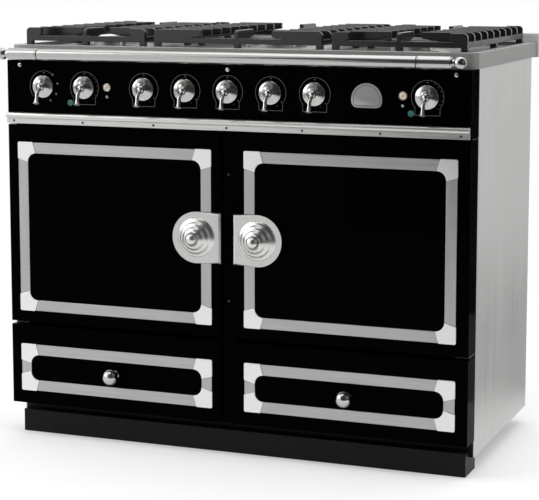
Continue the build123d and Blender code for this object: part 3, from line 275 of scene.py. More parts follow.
def ranged(tree, value, low, high, start=0.0, end=1.0):
    """A value that goes from start to end while the given one goes from low to high."""
    limits = {"Value": value, "From Min": low, "From Max": high, "To Min": start, "To Max": end}
    return node(tree, "ShaderNodeMapRange", limits).outputs[0]


def noise(tree, place, waves, detail):
    """Noise with a number of waves to the metre, or one number for each axis."""
    scale = waves if isinstance(waves, tuple) else (waves,) * 3
    stretched = node(tree, "ShaderNodeMapping", {"Vector": place, "Scale": scale}).outputs[0]
    return node(tree, "ShaderNodeTexNoise", {"Vector": stretched, "Scale": 1.0, "Detail": detail}).outputs[0]


CLOUDS = 9.0
FINE_SHARE = 0.7
TONE_SPAN = (0.34, 0.66)
GLOSS_SPAN = (0.3, 0.7)
RELIEF = 0.0004


def finish(name, base, spread, metallic, rough, grain, bump=0.0, more=None, specks=None):
    """A finish whose tone and roughness follow a fine grain and broad clouds, over Object coordinates."""
    material = bpy.data.materials.new(f"{name}_finish")
    material.use_nodes = True
    tree = material.node_tree
    shader = tree.nodes["Principled BSDF"]
    place = node(tree, "ShaderNodeTexCoord").outputs["Object"]
    fine = noise(tree, place, grain, detail=4.0)
    broad = noise(tree, place, CLOUDS, detail=2.0)
    both = calc(tree, "MULTIPLY_ADD", broad, 1 - FINE_SHARE, calc(tree, "MULTIPLY", fine, FINE_SHARE))
    dark, light = [(*[min(1.0, part * share) for part in base], 1.0) for share in (1 - spread, 1 + spread)]
    shown = blend(tree, ranged(tree, both, *TONE_SPAN), dark, light)
    if specks:
        waves, size, fleck = specks
        dots = node(tree, "ShaderNodeTexVoronoi", {"Vector": place, "Scale": waves}).outputs["Distance"]
        shown = blend(tree, calc(tree, "LESS_THAN", dots, size), shown, (*fleck, 1.0))
    gloss = ranged(tree, both, *GLOSS_SPAN, *rough)
    feed(tree, shader, {"Base Color": shown, "Roughness": gloss, "Metallic": metallic, **(more or {})})
    if bump:
        relief = node(tree, "ShaderNodeBump", {"Height": fine, "Strength": bump, "Distance": RELIEF})
        feed(tree, shader, {"Normal": relief.outputs[0]})
    return material


def named(finish_name):
    return bpy.data.materials[f"{finish_name}_finish"]


def shade(base, share):
    return [part * share for part in base]


# Outlines and profiles

def at(x, y, z, turn=FRONT):
    return Matrix.Translation((x, y, z)) @ turn


def middle(cad_node):
    low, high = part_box(cad_node)
    return (low + high) / 2


def evenly(low, high, places):
    return [low + (high - low) * i / (places - 1) for i in range(places)]


def polar(radius, turn):
    return radius * cos(radians(turn)), radius * sin(radians(turn))


def arc(cx, cy, radius, start, end, steps):
    """Points on an arc, with angles in degrees."""
    spots = [polar(radius, turn) for turn in evenly(start, end, steps + 1)]
    return [(cx + x, cy + y) for x, y in spots]


def cap(radius, base, height, steps):
    """Profile of a round cap that closes on the axis."""
    sphere = (radius * radius + height * height) / (2 * height)
    centre = base + height - sphere
    start = degrees(asin((base - centre) / sphere))
    return [*arc(0, centre, sphere, start, 90, steps)[:-1], (0.0, base + height)]


def ball(radius, neck, centre):
    """Profile of a ball that grows out of a neck and closes on the axis."""
    start = degrees(asin(neck / radius)) - 90
    return [*arc(0, centre, radius, start, 90, 24)[:-1], (0.0, centre + radius)]


def drum(radius, low, high):
    """Profile of a plain cylinder."""
    return [(0.0, low), (radius, low), (radius, high), (0.0, high)]


def button(radius, low, base, height, steps):
    """Profile of a cylinder with a round cap."""
    return [(0.0, low), (radius, low), *cap(radius, base, height, steps)]


# Meshes

TINY = 1e-7
MERGE = 1e-6
CREASE = radians(32)
FLAT = radians(0.5)
SHARPEST_MITRE = 0.5


def add_ring(bm, spot, across, over, radius, segments):
    """The points of a ring, or the one point of a closed end."""
    if radius < TINY:
        return [bm.verts.new(spot)]
    turns = evenly(0, tau, segments + 1)[:-1]
    return [bm.verts.new(spot + (across * cos(turn) + over * sin(turn)) * radius) for turn in turns]


def join_rings(bm, rings, segments, material):
    for low, high in zip(rings, rings[1:]):
        for i in range(segments):
            j = (i + 1) % segments
            corners = (low[i % len(low)], low[j % len(low)], high[j % len(high)], high[i % len(high)])
            bm.faces.new(list(dict.fromkeys(corners))).material_index = material


def add_turned(bm, profile, place, segments=48, material=0):
    """Turn (radius, height) points about the Z axis of place."""
    turn = place.to_3x3()
    across, over = turn @ Vector((1, 0, 0)), turn @ Vector((0, 1, 0))
    rings = [add_ring(bm, place @ Vector((0, 0, height)), across, over, r, segments) for r, height in profile]
    join_rings(bm, rings, segments, material)


def add_swept(bm, stations, segments=32, material=0):
    """Lay a round bar through (place, radius) stations that keep to one upright plane facing X."""
    across = Vector((1, 0, 0))
    rings = []
    for i, (spot, radius) in enumerate(stations):
        along = stations[min(i + 1, len(stations) - 1)][0] - stations[max(i - 1, 0)][0]
        rings.append(add_ring(bm, spot, across, along.cross(across).normalized(), radius, segments))
    join_rings(bm, rings, segments, material)


def add_prism(bm, outline, place, depth, material=0, rounding=0.0, steps=4, rim=None):
    """Make a flat outline in the XY plane of place depth thick along its Z, with a rounded far edge."""
    low = [bm.verts.new(place @ Vector((x, y, 0))) for x, y in outline]
    high = [bm.verts.new(place @ Vector((x, y, depth))) for x, y in outline]
    faces = [bm.faces.new(low[::-1]), bm.faces.new(high)]
    for i in range(len(outline)):
        j = (i + 1) % len(outline)
        faces.append(bm.faces.new((low[i], low[j], high[j], high[i])))
    for face in faces:
        face.material_index = material
    if rounding:
        edges = faces[1].edges[:]
        bevel = bmesh.ops.bevel(
            bm, geom=edges, offset=rounding, segments=steps, profile=0.5, affect="EDGES", clamp_overlap=True
        )
        for face in bevel["faces"]:
            face.material_index = material if rim is None else rim


def add_ribbon(bm, points, width, place, depth, closed=False, material=0):
    """A printed line of even width along points in the XY plane of place."""
    path = [Vector(point) for point in points]
    loops = []
    for i, here in enumerate(path):
        before = path[i - 1] if i or closed else None
        after = path[(i + 1) % len(path)] if i + 1 < len(path) or closed else None
        runs = [run.normalized() for run in (before and here - before, after and after - here) if run]
        along = sum(runs, Vector((0, 0))).normalized()
        side = Vector((-along.y, along.x)) * width / 2 / max(SHARPEST_MITRE, along.dot(runs[0]))
        corners = ((here + side, 0), (here - side, 0), (here - side, depth), (here + side, depth))
        loops.append([bm.verts.new(place @ Vector((p.x, p.y, h))) for p, h in corners])
    faces = [] if closed else [loops[0], loops[-1][::-1]]
    for one, two in zip(loops, [*loops[1:], loops[0]] if closed else loops[1:]):
        faces += [(one[i - 1], one[i], two[i], two[i - 1]) for i in range(len(one))]
    for face in faces:
        bm.faces.new(face).material_index = material


def make_piece(name, bm, body, *finishes, edge=0.0, **role):
    """Turn a bmesh into a piece that rides on a body, and pass slot or stands_for on to dress."""
    bmesh.ops.remove_doubles(bm, verts=bm.verts, dist=MERGE)
    bmesh.ops.recalc_face_normals(bm, faces=bm.faces)
    mesh = bpy.data.meshes.new(name)
    bm.to_mesh(mesh)
    bm.free()
    for finish_name in finishes:
        mesh.materials.append(named(finish_name))
    dress(name, mesh, body, edge, **role)


def dress(name, mesh, body, edge=0.0, slot=None, stands_for=None):
    """Make a mesh a smooth piece, with rounded edges where edge is given, in a CAD node's place where stands_for
    is given; slot is not used.
    """
    mesh.shade_smooth()
    mesh.set_sharp_from_angle(angle=CREASE)
    piece = bpy.data.objects.new(name, mesh)
    bpy.context.scene.collection.objects.link(piece)
    if edge:
        rounding = piece.modifiers.new("edge", "BEVEL")
        rounding.width = edge
        rounding.segments = 2
        rounding.limit_method = "ANGLE"
        rounding.angle_limit = CREASE
        rounding.harden_normals = True
    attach(piece, body)
    if stands_for:
        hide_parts(stands_for)


def softened(cad_node, body, edge):
    """A copy of a CAD node with merged points and rounded edges, which stands for it."""
    bm = bmesh.new()
    bm.from_mesh(frame["nodes"][cad_node].data)
    bmesh.ops.remove_doubles(bm, verts=bm.verts, dist=MERGE)
    bmesh.ops.dissolve_limit(bm, angle_limit=FLAT, verts=bm.verts, edges=bm.edges)
    make_piece(f"{cad_node}_softened", bm, body, SLOT_OF[cad_node], edge=edge, stands_for=cad_node)


# Trees that repeat a shape over points

SOCKET_KINDS = {float: "NodeSocketFloat", int: "NodeSocketInt", tuple: "NodeSocketVector"}


def point_tree(name, sizes):
    """Start a tree over points, with named inputs for its sizes and its finish."""
    tree = bpy.data.node_groups.new(name, "GeometryNodeTree")
    add = tree.interface.new_socket
    add("Geometry", in_out="INPUT", socket_type="NodeSocketGeometry")
    for label, default in sizes.items():
        add(label, in_out="INPUT", socket_type=SOCKET_KINDS[type(default)]).default_value = default
    add("Finish", in_out="INPUT", socket_type="NodeSocketMaterial")
    add("Geometry", in_out="OUTPUT", socket_type="NodeSocketGeometry")
    return tree, node(tree, "NodeGroupInput").outputs


def close_tree(tree, given, instances):
    real = node(tree, "GeometryNodeRealizeInstances", {"Geometry": instances})
    done = node(tree, "GeometryNodeSetMaterial", {"Geometry": real.outputs[0], "Material": given["Finish"]})
    node(tree, "NodeGroupOutput", {"Geometry": done.outputs[0]})
    return tree


def attribute(tree, name, kind):
    return node(tree, "GeometryNodeInputNamedAttribute", {"Name": name}, data_type=kind).outputs["Attribute"]


def on_points(tree, points, shape, **more):
    inputs = {"Points": points, "Instance": shape, **more}
    return node(tree, "GeometryNodeInstanceOnPoints", inputs).outputs[0]


def facing(tree, way, axis):
    return node(tree, "FunctionNodeAlignRotationToVector", {"Vector": way}, axis=axis).outputs[0]


def squashed_ball(tree, radius, segments, rings, *scale):
    sphere = node(tree, "GeometryNodeMeshUVSphere", {"Segments": segments, "Rings": rings, "Radius": radius})
    shape = {"Geometry": sphere.outputs[0], "Scale": vector(tree, *scale)}
    return node(tree, "GeometryNodeTransform", shape).outputs[0]


def screw_tree():
    """Domed, slotted screw heads on points, each turned at random about its facing."""
    sizes = {"Radius": 0.0048, "Height": 0.0024, "Slot": 0.0011, "Seed": 4}
    tree, given = point_tree("Slotted screws", sizes)
    radius, height = given["Radius"], given["Height"]
    head = squashed_ball(tree, 1.0, 20, 10, radius, radius, height)
    past_both_sides = calc(tree, "MULTIPLY", radius, 3.0)
    bar = vector(tree, past_both_sides, given["Slot"], height)
    cube = node(tree, "GeometryNodeMeshCube", {"Size": bar}).outputs[0]
    lift = vector(tree, 0.0, 0.0, height)
    cutter = node(tree, "GeometryNodeTransform", {"Geometry": cube, "Translation": lift}).outputs[0]
    cut = {"Mesh 1": head, "Mesh 2": cutter}
    slotted = node(tree, "GeometryNodeMeshBoolean", cut, operation="DIFFERENCE").outputs["Mesh"]
    spin = node(tree, "FunctionNodeRandomValue", {2: 0.0, 3: pi, "Seed": given["Seed"]}, data_type="FLOAT")
    twist = {
        "Rotation": facing(tree, attribute(tree, "facing", "FLOAT_VECTOR"), "Z"),
        "Rotate By": vector(tree, 0.0, 0.0, spin.outputs[1]),
    }
    turned = node(tree, "FunctionNodeRotateRotation", twist, rotation_space="LOCAL").outputs[0]
    size = attribute(tree, "size", "FLOAT")
    return close_tree(tree, given, on_points(tree, given["Geometry"], slotted, Rotation=turned, Scale=size))


def port_tree():
    """A ring of small flame ports round each point, whose size is the ring's radius."""
    tree, given = point_tree("Flame ports", {"Ports": 30, "Port size": (0.003, 0.0024, 0.002)})
    here = node(tree, "GeometryNodeInputPosition").outputs[0]
    kept = {"Geometry": given["Geometry"], "Name": "centre", "Value": here}
    kind = "FLOAT_VECTOR"
    centred = node(tree, "GeometryNodeStoreNamedAttribute", kept, data_type=kind, domain="POINT").outputs[0]
    circle = node(tree, "GeometryNodeMeshCircle", {"Vertices": given["Ports"], "Radius": 1.0}).outputs[0]
    rings = on_points(tree, centred, circle, Scale=attribute(tree, "size", "FLOAT"))
    spread = node(tree, "GeometryNodeRealizeInstances", {"Geometry": rings}).outputs[0]
    ends = {0: here, 1: attribute(tree, "centre", kind)}
    outward = node(tree, "ShaderNodeVectorMath", ends, operation="SUBTRACT").outputs[0]
    port = node(tree, "GeometryNodeMeshCube", {"Size": given["Port size"]}).outputs[0]
    return close_tree(tree, given, on_points(tree, spread, port, Rotation=facing(tree, outward, "X")))


def louvre_tree():
    """Half-round louvre hoods that lie along X on points."""
    tree, given = point_tree("Louvre hoods", {"Width": 0.06, "Height": 0.009, "Reach": 0.006})
    hood = squashed_ball(tree, 0.5, 24, 8, given["Width"], given["Reach"], given["Height"])
    return close_tree(tree, given, on_points(tree, given["Geometry"], hood))


def grow(name, tree, points, inputs, finish_name, body, **role):
    """Run a tree over (place, facing, size) points and keep the result as a plain mesh."""
    mesh = bpy.data.meshes.new(f"{name}_points")
    mesh.from_pydata([place for place, _, _ in points], [], [])
    for label, kind in (("facing", "FLOAT_VECTOR"), ("size", "FLOAT")):
        mesh.attributes.new(label, kind, "POINT")
    mesh.attributes["facing"].data.foreach_set("vector", [part for _, way, _ in points for part in way])
    mesh.attributes["size"].data.foreach_set("value", [size for _, _, size in points])
    seed = bpy.data.objects.new(f"{name}_points", mesh)
    bpy.context.scene.collection.objects.link(seed)
    modifier = seed.modifiers.new(name, "NODES")
    modifier.node_group = tree
    given = {**inputs, "Finish": named(finish_name)}
    for socket in tree.interface.items_tree:
        if socket.in_out == "INPUT" and socket.name in given:
            modifier[socket.identifier] = given[socket.name]
    made = bpy.data.meshes.new_from_object(seed.evaluated_get(bpy.context.evaluated_depsgraph_get()))
    made.name = name
    bpy.data.objects.remove(seed)
    dress(name, made, body, **role)


# Groups of pieces, each with the operator that makes it

def finish_rows(c):
    """Name, colour, spread of tone, metallic, roughness, grain, bump, other inputs and specks."""
    along_x, along_z = (5.0, 420.0, 420.0), (420.0, 420.0, 5.0)
    gleam = "Specular IOR Level"
    glaze_specks = (420.0, 0.22, (0.36, 0.37, 0.4))
    zinc_specks = (120.0, 0.3, (0.54, 0.55, 0.56))
    return (
        ("black_enamel", c.enamel, 0.3, 0.0, (0.05, 0.11), 90.0, 0.03, {gleam: 0.006}),
        ("plinth_black", (0.006, 0.006, 0.0065), 0.3, 0.0, (0.35, 0.5), 700.0, 0.08, {gleam: 0.12}),
        ("side_steel", c.side_steel, 0.06, 0.9, (0.38, 0.5), (90.0, 90.0, 1.6), 0.01),
        ("worktop_steel", c.worktop_steel, 0.1, 0.8, (0.24, 0.36), along_x, 0.02),
        # A darker copy of the worktop steel, painted shade on the worktop's upright faces
        ("worktop_edge", shade(c.worktop_steel, 0.6), 0.1, 0.5, (0.32, 0.45), along_x, 0.02),
        # A lighter copy of the worktop steel, painted light on the upstand
        ("upstand_steel", shade(c.worktop_steel, 1.6), 0.1, 0.4, (0.35, 0.5), along_x, 0.02),
        # A lighter copy of the worktop steel, painted light on the moulding
        ("moulding_steel", shade(c.worktop_steel, 1.4), 0.1, 0.9, (0.24, 0.34), along_x, 0.02),
        ("trim_steel", c.strip_steel, 0.1, 1.0, (0.3, 0.42), along_x, 0.02),
        ("strip_upright", c.strip_steel, 0.1, 1.0, (0.3, 0.42), along_z, 0.02),
        ("corner_metal", c.corner_metal, 0.06, 0.9, (0.3, 0.4), 260.0, 0.01),
        ("polished_metal", c.chrome, 0.06, 1.0, (0.1, 0.17), 60.0),
        # A lighter copy of the chrome, painted light on the handle domes and plate rims
        ("dome_polish", shade(c.chrome, 1.25), 0.06, 1.0, (0.26, 0.32), 60.0),
        ("knob_polish", shade(c.chrome, 0.95), 0.1, 1.0, (0.16, 0.26), 220.0, 0.02),
        ("rail_polish", shade(c.chrome, 0.86), 0.06, 1.0, (0.12, 0.2), along_x, 0.01),
        ("cast_iron", c.iron, 0.35, 0.0, (0.18, 0.3), 900.0, 0.12, {gleam: 0.6}),
        ("burner_metal", (0.55, 0.55, 0.54), 0.12, 1.0, (0.35, 0.5), 500.0, 0.1),
        ("burner_enamel", (0.014, 0.014, 0.015), 0.3, 0.0, (0.3, 0.45), 600.0, 0.1),
        ("oven_enamel", (0.04, 0.042, 0.05), 0.2, 0.0, (0.14, 0.24), 260.0, 0.04, None, glaze_specks),
        ("zinc_sheet", (0.46, 0.47, 0.48), 0.16, 0.9, (0.36, 0.52), 70.0, 0.02, None, zinc_specks),
        ("wire", (0.66, 0.66, 0.66), 0.08, 1.0, (0.1, 0.2), 260.0),
        ("element_steel", (0.09, 0.085, 0.08), 0.3, 0.8, (0.35, 0.5), 300.0, 0.1),
        ("fan_steel", (0.5, 0.5, 0.5), 0.1, 1.0, (0.28, 0.4), 260.0, 0.02),
        ("motor_paint", (0.09, 0.09, 0.1), 0.2, 0.0, (0.35, 0.5), 500.0, 0.1),
        ("insulation", (0.6, 0.56, 0.43), 0.3, 0.0, (0.85, 0.95), (240.0, 900.0, 240.0), 0.8),
        ("seal", (0.09, 0.09, 0.09), 0.35, 0.0, (0.7, 0.85), 900.0, 0.6),
        ("pipe_brass", (0.6, 0.46, 0.22), 0.15, 1.0, (0.25, 0.4), 260.0, 0.02),
        ("switch_plastic", (0.035, 0.035, 0.04), 0.2, 0.0, (0.4, 0.55), 900.0, 0.1),
        ("terminal_plastic", (0.055, 0.055, 0.06), 0.2, 0.0, (0.4, 0.55), 900.0, 0.12),
        ("foot_plastic", (0.018, 0.018, 0.018), 0.25, 0.0, (0.45, 0.6), 900.0, 0.15),
        ("lamp_lens", c.lens, 0.12, 0.0, (0.1, 0.2), 300.0, 0.05, {"Coat Weight": 0.6}),
        ("lamp_bezel", (0.5, 0.46, 0.40), 0.1, 0.4, (0.2, 0.3), 300.0),
        ("lamp_centre", (0.5, 0.3, 0.14), 0.25, 0.0, (0.12, 0.2), 400.0, 0.05),
        ("badge_metal", (0.34, 0.34, 0.335), 0.12, 0.9, (0.35, 0.5), along_x, 0.03),
        ("dial_ink", c.ink, 0.12, 0.0, (0.5, 0.65), 800.0),
        ("marker_green", c.disc, 0.3, 0.0, (0.25, 0.4), 500.0),
        ("marker_pale", (0.06, 0.21, 0.21), 0.2, 0.0, (0.3, 0.45), 500.0),
        ("screw_dark", (0.06, 0.06, 0.06), 0.3, 0.8, (0.3, 0.45), 500.0),
        # Dark marks, lines and seams, and painted shade inside the flame ports
        ("groove_dark", (0.012, 0.012, 0.012), 0.3, 0.2, (0.5, 0.7), 600.0),
        ("ceramic", (0.72, 0.70, 0.66), 0.08, 0.0, (0.25, 0.4), 500.0, 0.05),
        ("lamp_glass", (0.62, 0.62, 0.58), 0.1, 0.0, (0.12, 0.2), 200.0, 0.1, {"Coat Weight": 0.8}),
    )


def paint_upright_shade(name, finish_name):
    """Give the upright faces of a sheet metal node a darker copy of its finish, which paints shade on them."""
    mesh = frame["nodes"][name].data
    mesh.materials.append(named(finish_name))
    half_upright = 0.5
    for face in mesh.polygons:
        if abs(face.normal.z) < half_upright:
            face.material_index = len(mesh.materials) - 1


class COOKER_OT_finishes(bpy.types.Operator):
    """Make every finish and give each CAD node the one of its material slot"""

    bl_idname = "cooker.finishes"
    bl_label = "Finishes"

    def execute(self, context):
        for row in finish_rows(context.scene.cooker.colours):
            finish(*row)
        for name, cad in frame["nodes"].items():
            for holder in cad.material_slots:
                holder.material = named(SLOT_OF[name])
        # The upstand gets a lighter copy of the worktop steel, painted light, and the hinge brackets the dark
        # screw finish
        for name, other in (("rear_upstand", "upstand_steel"), ("hinge_brackets", "screw_dark")):
            frame["nodes"][name].material_slots[0].material = named(other)
        paint_upright_shade("worktop", "worktop_edge")
        return {"FINISHED"}


def surround(body, sizes):
    """Strips round a door or drawer, and the corner pieces between them."""
    low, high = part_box(f"{body}_trim")
    x0, x1 = low.x + sizes.outset, high.x - sizes.outset
    z0, z1 = low.z + sizes.outset, high.z - sizes.outset
    inner = sizes.strip + sizes.scoop
    arm = sizes.arm + (inner - sizes.arm) * sizes.outset / (sizes.strip + sizes.outset)
    place = at(0, FACE_Y, 0)
    strips = bmesh.new()
    for z, up in ((z0, 1), (z1, -1)):
        deep = z + up * sizes.strip
        ends = [(x0 + arm, z), (x1 - arm, z), (x1 - inner, deep), (x0 + inner, deep)]
        add_prism(strips, ends, place, sizes.strip_t)
    for x, way in ((x0, 1), (x1, -1)):
        deep = x + way * sizes.strip
        ends = [(x, z0 + arm), (x, z1 - arm), (deep, z1 - inner), (deep, z0 + inner)]
        add_prism(strips, ends, place, sizes.strip_t, material=1)
    finishes = ("trim_steel", "strip_upright")
    make_piece(f"{body}_strips", strips, body, *finishes, edge=sizes.edge, stands_for=f"{body}_trim")
    corners = bmesh.new()
    nook = sizes.corner_round - sizes.outset
    shape = arc(nook, nook, sizes.corner_round, 180, 270, 6)
    shape += [(sizes.arm, -sizes.outset), *arc(inner, inner, sizes.scoop, 270, 180, 10)]
    shape += [(-sizes.outset, sizes.arm)]
    for x, way in ((x0, 1), (x1, -1)):
        for z, up in ((z0, 1), (z1, -1)):
            add_prism(corners, [(x + way * a, z + up * b) for a, b in shape], place, sizes.corner_t)
    make_piece(f"{body}_corners", corners, body, "corner_metal", edge=sizes.edge, slot="trim_steel")


class COOKER_OT_trim(bpy.types.Operator):
    """Make the strips and corner pieces of the doors and drawers"""

    bl_idname = "cooker.trim"
    bl_label = "Strips and corners"

    def execute(self, context):
        for side in SIDES:
            for kind in ("door", "drawer"):
                surround(f"{side}_{kind}", context.scene.cooker.trim)
        return {"FINISHED"}


def door_handle(body, sign, sizes, seat_y):
    """A plate with one round end and a stepped dome on it."""
    low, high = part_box(f"{body}_handle")
    half = (high.z - low.z) / 2
    x0 = low.x if sign > 0 else high.x
    x1 = x0 + sign * sizes.flat
    z = (low.z + high.z) / 2
    bow = [(x1 + sign * u, v) for u, v in arc(0, 0, half, -90, 90, 40)]
    bm = bmesh.new()
    add_prism(
        bm, [(x0, -half), *bow, (x0, half)], at(0, seat_y, z), sizes.plate_t, rounding=sizes.plate_round,
        steps=6, rim=1,
    )
    add_turned(bm, dome_profile(sizes), at(x1, seat_y - sizes.plate_t, z), segments=72, material=1)
    # The dome and the plate's rim take a lighter copy of the chrome, which paints light on them
    make_piece(f"{body}_handle_dome", bm, body, "polished_metal", "dome_polish", stands_for=f"{body}_handle")


def dome_profile(sizes):
    """Profile of softly stepped tiers that end in a ball nose."""
    rise = (sizes.dome_h - sizes.nose_r) / sizes.tiers
    shrink = (sizes.dome_r - sizes.nose_r) / sizes.tiers
    sunk, steps = 0.002, 10
    profile = [(0.0, -sunk), (sizes.dome_r, -sunk)]
    for i in range(sizes.tiers * steps):
        tier = i / steps
        swell = sizes.wave * sin(tier * tau) / tau
        profile.append((sizes.dome_r - shrink * (tier - swell), rise * (tier + swell)))
    return [*profile, *cap(sizes.nose_r, rise * sizes.tiers, sizes.nose_r, 12)]


def drawer_knob(body, sizes):
    """A ball on a neck with a foot."""
    spot = middle(f"{body}_knob")
    neck, foot = sizes.ball_r * sizes.neck, sizes.ball_r * sizes.foot
    soft = sizes.foot_h / 2
    profile = [(0.0, 0.0), (foot, 0.0), *arc(foot - soft, soft, soft, 0, 90, 4), (neck, sizes.foot_h)]
    profile += ball(sizes.ball_r, neck, sizes.ball_out)
    bm = bmesh.new()
    add_turned(bm, profile, at(spot.x, FACE_Y, spot.z), segments=56)
    make_piece(f"{body}_knob_ball", bm, body, "polished_metal", stands_for=f"{body}_knob")


class COOKER_OT_handles(bpy.types.Operator):
    """Make the stepped door handles and the drawer knobs"""

    bl_idname = "cooker.handles"
    bl_label = "Handles"

    def execute(self, context):
        sizes = context.scene.cooker.handle
        for side, sign in SIDES.items():
            door_handle(f"{side}_door", sign, sizes, FACE_Y - context.scene.cooker.trim.strip_t)
            drawer_knob(f"{side}_drawer", sizes)
        return {"FINISHED"}


def control_knob(name, sizes):
    """A bell with a hanging lever, and a dark mark at its top."""
    x = middle(name).x
    back = FACE_Y - sizes.setoff
    bm = bmesh.new()
    add_turned(bm, bell_profile(sizes), at(x, back, KNOB_Z), segments=64)
    root = Vector((x, FACE_Y - sizes.root_out, KNOB_Z - sizes.root_down))
    knee = Vector((x, FACE_Y - sizes.knee_out, KNOB_Z - sizes.knee_down))
    tip = Vector((x, FACE_Y - sizes.tip_out, KNOB_Z - sizes.tip_down))
    add_swept(bm, lever_stations(root, knee, tip, sizes))
    mark_half, mark_drop, mark_proud, clear = 0.0016, 0.0034, 0.0022, 0.0001
    mark = [(-mark_half, 0.0), (mark_half, 0.0), (0.0, -mark_drop)]
    top = at(x, back, KNOB_Z + sizes.radius + clear)
    add_prism(bm, mark, top, sizes.skirt + mark_proud, material=1)
    make_piece(f"{name}_lever", bm, name, "knob_polish", "groove_dark", stands_for=name)


def lever_stations(root, knee, tip, sizes):
    """Stations (place, radius) of a stem that bends down at the knee and flares at the tip."""
    run = tip - knee
    along = run.normalized()
    waist = run.length - sizes.tip_len - sizes.tip_round
    elbow = knee + along * waist / 2
    shares = evenly(0.0, 1.0, 9)
    stations = [(root, 0.0)]
    for share in shares:
        place = root * (1 - share) ** 2 + knee * 2 * share * (1 - share) + elbow * share**2
        stations.append((place, sizes.stem_r))
    for share in shares:
        radius = sizes.waist_r + (sizes.tip_r - sizes.waist_r) * share**2
        stations.append((knee + along * (waist + sizes.tip_len * share), radius))
    end = cap(sizes.tip_r, run.length - sizes.tip_round, sizes.tip_round, 6)
    return [*stations, *[(knee + along * height, radius) for radius, height in end[1:]]]


def bell_profile(sizes):
    """Profile of a flared bell with a rounded brim, a hollow throat and a round nose."""
    brim, brim_turn = sizes.brim, 57
    foot = sizes.skirt + sizes.flank
    profile = [(0.0, 0.0), (sizes.radius - brim / 2, 0.0), (sizes.radius, brim / 2)]
    profile += arc(sizes.radius - brim, sizes.skirt - brim / 2, brim, 0, brim_turn, 5)
    start_r, start_h = profile[-1]
    for share in evenly(0.0, 1.0, 15)[1:-1]:
        height = start_h + (foot - start_h) * share - sizes.hollow * sin(pi * share)
        profile.append((start_r + (sizes.nose_r - start_r) * share, height))
    return [*profile, *cap(sizes.nose_r, foot, sizes.nose_h, 12)]


class COOKER_OT_knobs(bpy.types.Operator):
    """Make the domed control knobs with their hanging levers"""

    bl_idname = "cooker.knobs"
    bl_label = "Control knobs"

    def execute(self, context):
        for name in KNOBS:
            control_knob(name, context.scene.cooker.knob)
        return {"FINISHED"}


def dial_prints(sizes):
    """A keyhole line round each knob, or an open ring with dots, with an arrow and ticks or flame marks."""
    start = -degrees(asin(sqrt(sizes.ring_r**2 - sizes.base_half**2) / sizes.ring_r))
    keyhole = arc(0, 0, sizes.ring_r, start, 180 - start, 48)
    keyhole += [(-sizes.base_half, -sizes.base_drop), (sizes.base_half, -sizes.base_drop)]
    arrow_top, arrow_half, arrow_h = sizes.ring_r - 0.0035, 0.0028, 0.0022
    arrow = [(-arrow_half, arrow_top), (0.0, arrow_top - arrow_h), (arrow_half, arrow_top)]
    open_ring = arc(0, 0, sizes.ring_r, 45, 220, 30)
    tick_ends, tick_turns = (0.0295, 0.0325), evenly(60, -48, 7)
    dot_turns, dot_r = (50, 12, -28, -62), 0.0024
    flame_out, flames = 0.031, ((-38, 0.0012), (-62, 0.0008))
    bm = bmesh.new()
    for name in KNOBS:
        place = at(middle(name).x, FACE_Y, KNOB_Z)
        add_prism(bm, arrow, place, sizes.ink_t)
        lines, marks = [], []
        if name == SELECTOR:
            lines = [open_ring]
            marks = [arc(*polar(sizes.ring_r, turn), dot_r, 0, 345, 12) for turn in dot_turns]
        else:
            add_ribbon(bm, keyhole, sizes.line, place, sizes.ink_t, closed=True)
        if name in THERMOSTATS:
            lines = [[polar(out, turn) for out in tick_ends] for turn in tick_turns]
        elif name != SELECTOR:
            marks = [arc(*polar(flame_out, turn), radius, 0, 330, 10) for turn, radius in flames]
        for line in lines:
            add_ribbon(bm, line, sizes.line, place, sizes.ink_t)
        for mark in marks:
            add_prism(bm, mark, place, sizes.ink_t)
    make_piece("dial_prints", bm, "casing", "dial_ink", slot="badge_metal")


def indicator_lamps(sizes):
    """Two lamps in bezels, each with a small dot below it."""
    low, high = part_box("indicator_lamps")
    z = (low.z + high.z) / 2
    r = sizes.lamp_r
    bezel = [(0.0, 0.0), (r, 0.0), (r, 0.0018), (r - 0.0012, 0.0032), (r - 0.0024, 0.0026), (0.0, 0.0024)]
    lens = button(r - 0.0026, low=0.002, base=0.0026, height=0.0028, steps=6)
    centre = button(0.0026, low=0.004, base=0.0049, height=0.0009, steps=4)
    pilot = button(0.0032, low=0.0, base=0.0004, height=0.0012, steps=4)
    bm = bmesh.new()
    for x in (low.x + r, high.x - r):
        place = at(x, FACE_Y, z)
        add_turned(bm, bezel, place, segments=36)
        add_turned(bm, lens, place, segments=36, material=1)
        add_turned(bm, centre, place, segments=24, material=2)
        add_turned(bm, pilot, at(x, FACE_Y, z - sizes.lamp_drop), segments=24, material=3)
    finishes = ("lamp_bezel", "lamp_lens", "lamp_centre", "badge_metal")
    make_piece("lamp_bezels", bm, "casing", *finishes, stands_for="indicator_lamps")


def marker_discs(sizes):
    """A green disc with a printed flower at the lower left of each thermostat."""
    r = sizes.disc_r
    thick, print_top, line = 0.0005, 0.0008, 0.0007
    line_r, petal_out, petal_r, petals = r * 0.78, r * 0.45, r * 0.16, 6
    bm = bmesh.new()
    for name in THERMOSTATS:
        place = at(middle(name).x - sizes.disc_dx, FACE_Y, KNOB_Z - sizes.disc_drop)
        add_turned(bm, drum(r, 0.0, thick), place, segments=32)
        add_ribbon(bm, arc(0, 0, line_r, 0, 350, 24), line, place, print_top, closed=True, material=1)
        for i in range(petals):
            petal = arc(*polar(petal_out, 360 * i / petals), petal_r, 0, 315, 8)
            add_prism(bm, petal, place, print_top, material=1)
    make_piece("marker_discs", bm, "casing", "marker_green", "marker_pale", slot="badge_metal")


